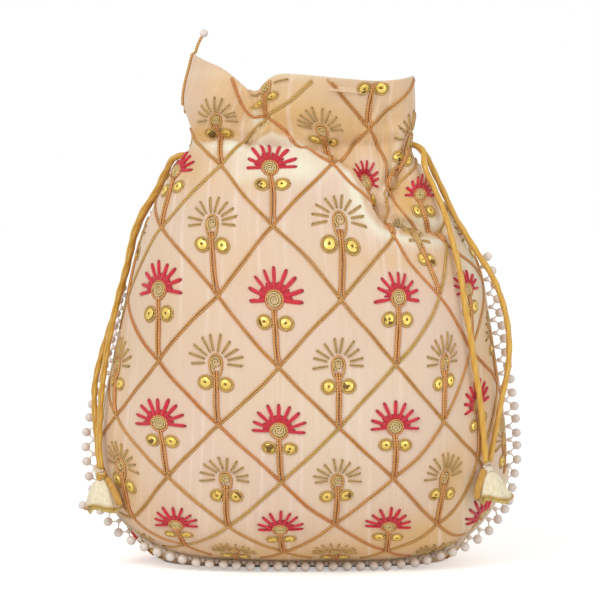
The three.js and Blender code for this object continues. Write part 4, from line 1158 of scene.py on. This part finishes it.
def centre_and_stem(bundle, side, s, t, is_red, rng):
    """The coiled centre and the two cords of the stem."""
    lean = rng.uniform(-0.5, 0.5)
    angle = np.linspace(-math.pi / 2, 1.5 * math.pi, 34)
    if is_red:
        couch(bundle, side, s + 3.6 * np.cos(angle), t + 3.6 * np.sin(angle), 0.5, tone=0.85)
    else:
        drop = np.where(np.sin(angle) < 0, 6.0, 3.9)
        couch(bundle, side, s + 2.6 * np.cos(angle), t - 0.4 + drop * np.sin(angle), 0.5, tone=0.45)
    coil = np.linspace(0.4, 3.1 * math.pi * (1.6 if is_red else 1.1), 46)
    reach = 0.5 + (2.6 if is_red else 1.7) * coil / coil[-1]
    couch(bundle, side, s + reach * np.cos(coil), t + reach * np.sin(coil) * (1 if is_red else 1.2), 0.45,
          height=0.25, tone=-0.8 if is_red else -0.5)
    down = np.linspace(0, 1, 20)
    for off in (-STEM_APART, STEM_APART):
        splayed = off * (1 + 0.8 * down ** 6 - 0.25 * np.sin(down * 9 + off))
        couch(bundle, side, s + splayed + lean * np.sin(down * 3), t - STEM_TOP - STEM_LONG * down,
              STEM_CORD, tone=0.75 + 0.2 * off)


def sequins(discs, loops, side, s, t, rng):
    """The two sequins under a flower, each held by a bead and ringed with cord."""
    for hand in (-1, 1):
        cs, ct = s + hand * rng.uniform(4.0, 4.6), t - rng.uniform(8.4, 9.2)
        tip = rng.uniform(-0.1, 0.1, 2)
        shape = DISC[0]
        lay_shape(discs, side, DISC, cs + shape[:, 0], ct + shape[:, 1],
                  0.55 + shape[:, 2] + shape[:, 0] * tip[0] + shape[:, 1] * tip[1])
        shape = SMALL_BEAD[0] * 0.45
        lay_shape(loops, side, SMALL_BEAD, cs + shape[:, 0], ct + shape[:, 1], 0.75 + shape[:, 2], 0.6)
        ring = np.linspace(0, 2 * np.pi, 22)
        for reach in (2.6, 3.15):
            couch(loops, side, cs + reach * np.cos(ring), ct + reach * np.sin(ring) * 0.95, 0.33, tone=0.05)


def embroider(side):
    """All the flowers of one side."""
    rng = np.random.default_rng(5 if side == "front" else 6)
    red, gold, cord_work, discs = Bundle(), Bundle(), Bundle(), Bundle()
    for row in FLOWER_ROWS:
        for column in FLOWER_COLUMNS:
            at_hem = side == "front" and row == HEM_ROW
            if (row + column) % 2 or (at_hem and column not in HEM_COLUMNS):
                continue
            s, t = (column + 0.5) * HALF_PITCH, FIRST_ROW + row * ROW_PITCH
            is_red = column % 2 != 0 and not at_hem
            petals(red if is_red else gold, side, s, t, is_red, rng)
            centre_and_stem(cord_work, side, s, t, is_red, rng)
            sequins(discs, cord_work, side, s, t, rng)
    fans = [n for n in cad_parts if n.startswith(f"red_fan_{side}")]
    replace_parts(red.piece(f"red_petals_{side}", RED, "red_thread"), *fans)
    gold.piece(f"gold_petals_{side}", GOLD, "zari")
    cord_work.piece(f"stems_{side}", ZARI, "zari")
    discs.piece(f"sequins_{side}", SEQUIN, "zari")


for side in SIGN:
    lattice(side)
    embroider(side)


# Pearl lace: pearls and small beads on a zigzag of thread, along the seam
PEARL_PITCH, PEARL_REACH, PEARL_RADIUS = 5.7, 5.5, 2.02
BEAD_REACH, BEAD_RADIUS = 2.2, 1.1
LACE_RIGHT, LACE_LEFT = 6.1, 5.6  # the levels at which the lace ends under the cords
OUTWARD = (0.0, -1.0, 0.2)  # the upper side of the lace's threads


def seam_line():
    """Points of the seam with the way in which the lace stands out from it."""
    points, outs = [], []

    def climb(line, turn, start, end):
        for level in np.linspace(start, end, 25):
            out = seam_out(turn, level)
            if turn < 0:
                out[1] += 1.4 * smooth(2.6, 4.4, level)
            points.append(line(level))
            outs.append(out / np.linalg.norm(out))

    climb(RIGHT_RAIL, 90, LACE_RIGHT, 0)
    for turn in range(87, -88, -3):
        here, ahead = cloth("front", turn, 0), cloth("front", turn - 1, 0)
        flat = 1 - smooth(40, 78, abs(turn))
        step = ahead - here
        out = unit(np.array((step[2], 0, -step[0]))) * (flat - 1) + np.array((0, -flat, -0.24 * flat))
        points.append(here)
        outs.append(unit(out))
    climb(LEFT_RAIL, -90, 0, LACE_LEFT)
    return np.array(points), np.array(outs)


def spaced(points, outs, step, start=0.0):
    """Points at even steps along the seam, with their ways out."""
    run = np.concatenate([[0], np.cumsum(np.linalg.norm(np.diff(points, axis=0), axis=1))])
    at = np.arange(start, run[-1], step)
    spots, ways = (np.stack([np.interp(at, run, values[:, k]) for k in range(3)], -1)
                   for values in (points, outs))
    return spots, unit(ways)


def lace():
    """The pearls, the small beads that join them to the seam, and their threads."""
    points, outs = seam_line()
    rng = np.random.default_rng(11)
    pearls, beads, threads = Bundle(), Bundle(), Bundle()
    base, out = spaced(points, outs, PEARL_PITCH)
    centres = base + out * PEARL_REACH + rng.uniform(-0.22, 0.22, base.shape)
    centres[:, 2] = np.maximum(centres[:, 2], 2.1)
    for centre in centres:
        tip = rng.uniform(0, 2 * np.pi)
        shape, c, s = BEAD[0] * PEARL_RADIUS, math.cos(tip), math.sin(tip)
        turned = np.stack([shape[:, 0] * c - shape[:, 2] * s, shape[:, 1],
                           shape[:, 0] * s + shape[:, 2] * c], -1)
        pearls.add(centre + turned, BEAD[1])
    inner, way = spaced(points, outs, PEARL_PITCH, PEARL_PITCH / 2)
    inner = inner + way * BEAD_REACH + rng.uniform(-0.15, 0.15, inner.shape)
    inner[:, 2] = np.maximum(inner[:, 2], 1.2)
    for centre in inner:
        beads.add(centre + SMALL_BEAD[0] * BEAD_RADIUS, SMALL_BEAD[1])
    for i in range(len(inner)):
        for pearl in (centres[i], centres[min(i + 1, len(centres) - 1)]):
            wound(threads, np.linspace(inner[i], pearl, 4), OUTWARD, 0.3, 5)
        wound(threads, np.linspace(inner[i] - way[i] * 2.0, inner[i], 3), OUTWARD, 0.35, 5)
    foot, way = spaced(points, outs, 1.9)
    edge = foot + way * 0.55
    edge[:, 2] = np.maximum(edge[:, 2], 0.7)
    wound(threads, edge, OUTWARD, 0.5, 6)
    made = pearls.piece("pearls", PEARL, "pearl")
    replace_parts(made, "pearl_trim")
    beads.piece("link_beads", PEARL, "pearl")
    threads.piece("lace_threads", THREAD, "pearl")


lace()


SINGLE_RADIUS = 1.8


def single_pearl(name, centre):
    tip = Bundle()
    tip.add(BEAD[0] * SINGLE_RADIUS + np.array(centre), BEAD[1])
    return tip.piece(name, PEARL, "pearl")


# The end of the edging at the ruffle's left corner: a thread with a pearl, run on down the seam
TAIL = ((-44.6, 0.0, 214.9), (-43.8, -0.4, 217.4), (-42.4, -0.8, 220.4), (-41.2, -1, 222.4))
TAIL_PEARL = (-41, -1, 222.8)


def tail():
    bundle = Bundle()
    levels = np.linspace(9.9, TOP, 22)
    down = LEFT_RAIL(levels) + np.array((-0.5, -0.7, 0))
    up = through([down[-1], *TAIL], 0.8)
    wound(bundle, np.vstack([down[:-1], up]), (0.0, -1.0, 0.0), 0.62, 8, tone=0.4)
    made = bundle.piece("edge_thread", ZARI, "pearl")
    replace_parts(made, "edge_tail")
    single_pearl("edge_pearl", TAIL_PEARL)


tail()


# Tassels: a cloth bell with a golden lining, under a knot where the strands end. The rings of the
# bell and of its lining are (radius, height).
RIM_RADIUS, RIM_LEVEL, RIM_STEPS = 8.1, -11.7, 60
BELL_RINGS = ((1.3, 2.6), (1.9, 1.2), (1.7, -0.2), (3.6, -1.5), (5.0, -3.6), (6.0, -6.4), (6.9, -9.4),
              (RIM_RADIUS, RIM_LEVEL))
BELL_LINING_RINGS = ((2.4, -2.9), (3.9, -4.6), (5.0, -7.4), (5.9, -10.2), (6.7, -12.6), (6.2, -13.9))
KNOT_RADIUS, KNOT_TOP, KNOT_TALL = 1.75, 2.6, 2.8
UPWARD = (0.0, 0.0, 1.0)


def slung(points, centre, tilt):
    """Points of a tassel in their place, hanging aslant and a little forward."""
    points = np.asarray(points, float)
    lean = np.tan(math.radians(tilt))
    return points + np.stack([points[..., 2] * lean, points[..., 2] * 0.1, 0 * points[..., 2]], -1) + centre


def fluted(points, rim):
    """A bell's rings with the folds of its cloth, deepest at the rim."""
    angle = np.arctan2(points[..., 1], points[..., 0])
    size = np.hypot(points[..., 0], points[..., 1]) / rim
    fold = 1 + 0.09 * size * np.cos(6 * angle + 0.6) + 0.06 * size * np.sin(2 * angle)
    drop = size ** 3 * (0.9 * np.sin(3 * angle + 0.8) + 0.4 * np.sin(5 * angle))
    return np.stack([points[..., 0] * fold, points[..., 1] * fold * 0.72, points[..., 2] + drop], -1)


def cloth_bell(name, rings, sides, material, wall, centre, tilt):
    """A cloth bell drawn out from rings (radius, height), with a wall and an open mouth."""
    fresh()
    bpy.ops.mesh.primitive_circle_add(vertices=sides, radius=rings[0][0])
    obj = bpy.context.object
    bpy.ops.object.mode_set(mode="EDIT")
    bpy.ops.mesh.select_all(action="SELECT")
    bpy.ops.transform.translate(value=(0, 0, rings[0][1]))
    for (radius, height), (wider, lower) in zip(rings, rings[1:]):
        bpy.ops.mesh.extrude_region_move(TRANSFORM_OT_translate={"value": (0, 0, lower - height)})
        bpy.ops.transform.resize(value=(wider / radius, wider / radius, 1), center_override=(0, 0, lower))
    bpy.ops.object.mode_set(mode="OBJECT")
    points = np.array([v.co for v in obj.data.vertices])
    points = slung(fluted(points, rings[-1][0]), centre, tilt) + (0, FORWARD, 0)
    obj.data.vertices.foreach_set("co", (points * MM).ravel())
    bpy.ops.object.modifier_add(type="SOLIDIFY")
    obj.modifiers[-1].thickness = wall * MM
    bpy.ops.object.modifier_apply(modifier=obj.modifiers[-1].name)
    bpy.ops.object.mode_set(mode="EDIT")
    bpy.ops.mesh.select_all(action="SELECT")
    bpy.ops.mesh.normals_make_consistent(inside=False)
    bpy.ops.object.mode_set(mode="OBJECT")
    bpy.ops.object.shade_smooth()
    obj.name = obj.data.name = name
    obj.data.materials.append(material)
    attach(obj, "root")
    return obj


def band(bundle, line, wide, thick, tone=0.0):
    """A flat ribbon along a line, facing the front."""
    along = unit(np.gradient(line, axis=0))
    across = unit(np.cross(along, (0.0, -1.0, 0.0)))
    out = np.cross(across, along)
    angle = np.arange(8) * np.pi / 4
    rings = (line[:, None] + across[:, None] * (wide / 2 * np.cos(angle))[None, :, None]
             + out[:, None] * (thick / 2 * np.sin(angle))[None, :, None])
    bundle.add(rings, ring_faces(len(line), 8), None, tone)


def tassel(side, centre, tilt, scale, strip, pearl):
    """A tassel's pieces: bell, lining, knot, the cord round its rim, a folded strip and a pearl."""
    outer_rings, inner_rings = ([(r * scale, z * scale) for r, z in rings]
                                for rings in (BELL_RINGS, BELL_LINING_RINGS))
    outer = cloth_bell(f"tassel_bell_{side}", outer_rings, 30, BELL, 0.5, centre, tilt)
    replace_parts(outer, "tassel_" + side)
    inner = cloth_bell(f"tassel_lining_{side}", inner_rings, 24, BELL_LINING, 0.4, centre, tilt)
    knot = Bundle()
    coil = np.linspace(0, 5.5 * np.pi, RIM_STEPS)
    line = np.stack([KNOT_RADIUS * np.cos(coil), KNOT_RADIUS * np.sin(coil),
                     KNOT_TOP - KNOT_TALL * coil / coil[-1]], -1)
    wound(knot, slung(line * scale, centre, tilt), UPWARD, 0.55, 7)
    tied = knot.piece(f"tassel_knot_{side}", CORD if side == "left" else THREAD, "cord")
    rim = Bundle()
    ring = np.linspace(0, 2 * np.pi, RIM_STEPS)
    line = np.stack([RIM_RADIUS * np.cos(ring), RIM_RADIUS * np.sin(ring), np.full(RIM_STEPS, RIM_LEVEL)], -1)
    line = slung(fluted(line * scale, RIM_RADIUS * scale), centre, tilt)
    wound(rim, line, UPWARD, 0.42, 6, tone=0.1)
    hem = rim.piece(f"tassel_rim_{side}", ZARI, "zari")
    folded = Bundle()
    band(folded, slung(through(strip, 1.2), centre, tilt), 2.9, 0.9)
    turned = folded.piece(f"tassel_strip_{side}", BELL_STRIP, "silk")
    parts = [outer, inner, tied, hem, turned]
    if pearl:
        parts.append(single_pearl(f"tassel_pearl_{side}", pearl))
    return parts


tassels = {
    "left": tassel("left", (-83.2, -22.7, 38.2), -4, 0.95,
                   [(2.4, -1.6, 0.6), (4.4, -3.2, -3), (6.2, -4.2, -6.8), (7.2, -4.6, -10.2)],
                   (-91.0, -23.8, 27.4)),
    "right": tassel("right", (77, -30, 42.4), -12, 0.9,
                    [(-1.8, -1.8, 0.8), (-4.2, -3.4, -3.2), (-6.2, -4.0, -7), (-7.4, -4.2, -10.6)], None),
}

for name, line in cord_lines.items():
    length = float(np.linalg.norm(np.diff(line, axis=0), axis=1).sum())
    tassels[name.split("_")[0]]


# Floor, background and lamps
FLOOR_LIFT = 0.42  # how much lighter than it is lit the floor looks to the camera
AMBIENT, AMBIENT_COLOUR = 0.6, (1, 0.985, 0.96, 1)
LAMPS = (("key_lamp", (-0.8, -1.1, 1.2), 0.5, 9.9), ("fill_lamp", (1.2, -1.2, 0.5), 0.9, 5.0))


def studio():
    """White paper under and behind the pouch, even light from all round, and two soft lamps."""
    f = Finish("floor_paper", base_color=paint(255, 255, 255), roughness=0.95, specular_ior_level=0.0,
               emission_strength=1.0)
    camera_ray = f.wire(f.add("ShaderNodeLightPath").outputs["Is Camera Ray"])
    f.feed(emission_color=f.blend(camera_ray, (0, 0, 0, 1), (FLOOR_LIFT, FLOOR_LIFT, FLOOR_LIFT, 1)))
    fresh()
    bpy.ops.mesh.primitive_plane_add(size=6)
    floor = bpy.context.object
    floor.name = "floor"
    floor.data.materials.append(f.material)
    world = bpy.data.worlds.new("studio")
    bpy.context.scene.world = world
    world.use_nodes = True
    tree = world.node_tree
    tree.nodes.clear()
    rays = add_node(tree, "ShaderNodeLightPath").outputs
    either = {"operation": "ADD", "use_clamp": True}
    mirrored = add_node(tree, "ShaderNodeMath", either,
                        {0: rays["Is Glossy Ray"], 1: rays["Is Transmission Ray"]})
    seen = add_node(tree, "ShaderNodeMath", either, {0: rays["Is Camera Ray"], 1: mirrored.outputs[0]})
    ambient = add_node(tree, "ShaderNodeBackground", None, {0: AMBIENT_COLOUR, 1: AMBIENT})
    white = add_node(tree, "ShaderNodeBackground", None, {0: (1, 1, 1, 1), 1: 1.0})
    mix = add_node(tree, "ShaderNodeMixShader", None,
                   {0: seen.outputs[0], 1: ambient.outputs[0], 2: white.outputs[0]})
    add_node(tree, "ShaderNodeOutputWorld", None, {0: mix.outputs[0]})
    for name, where, size, power in LAMPS:
        lamp = bpy.data.lights.new(name, "AREA")
        lamp.size, lamp.energy = size, power
        made = bpy.data.objects.new(name, lamp)
        made.location = where
        made.rotation_euler = (AIM - Vector(where)).to_track_quat("-Z", "Y").to_euler()
        bpy.context.scene.collection.objects.link(made)
    bpy.context.scene.view_settings.view_transform = "Standard"


studio()
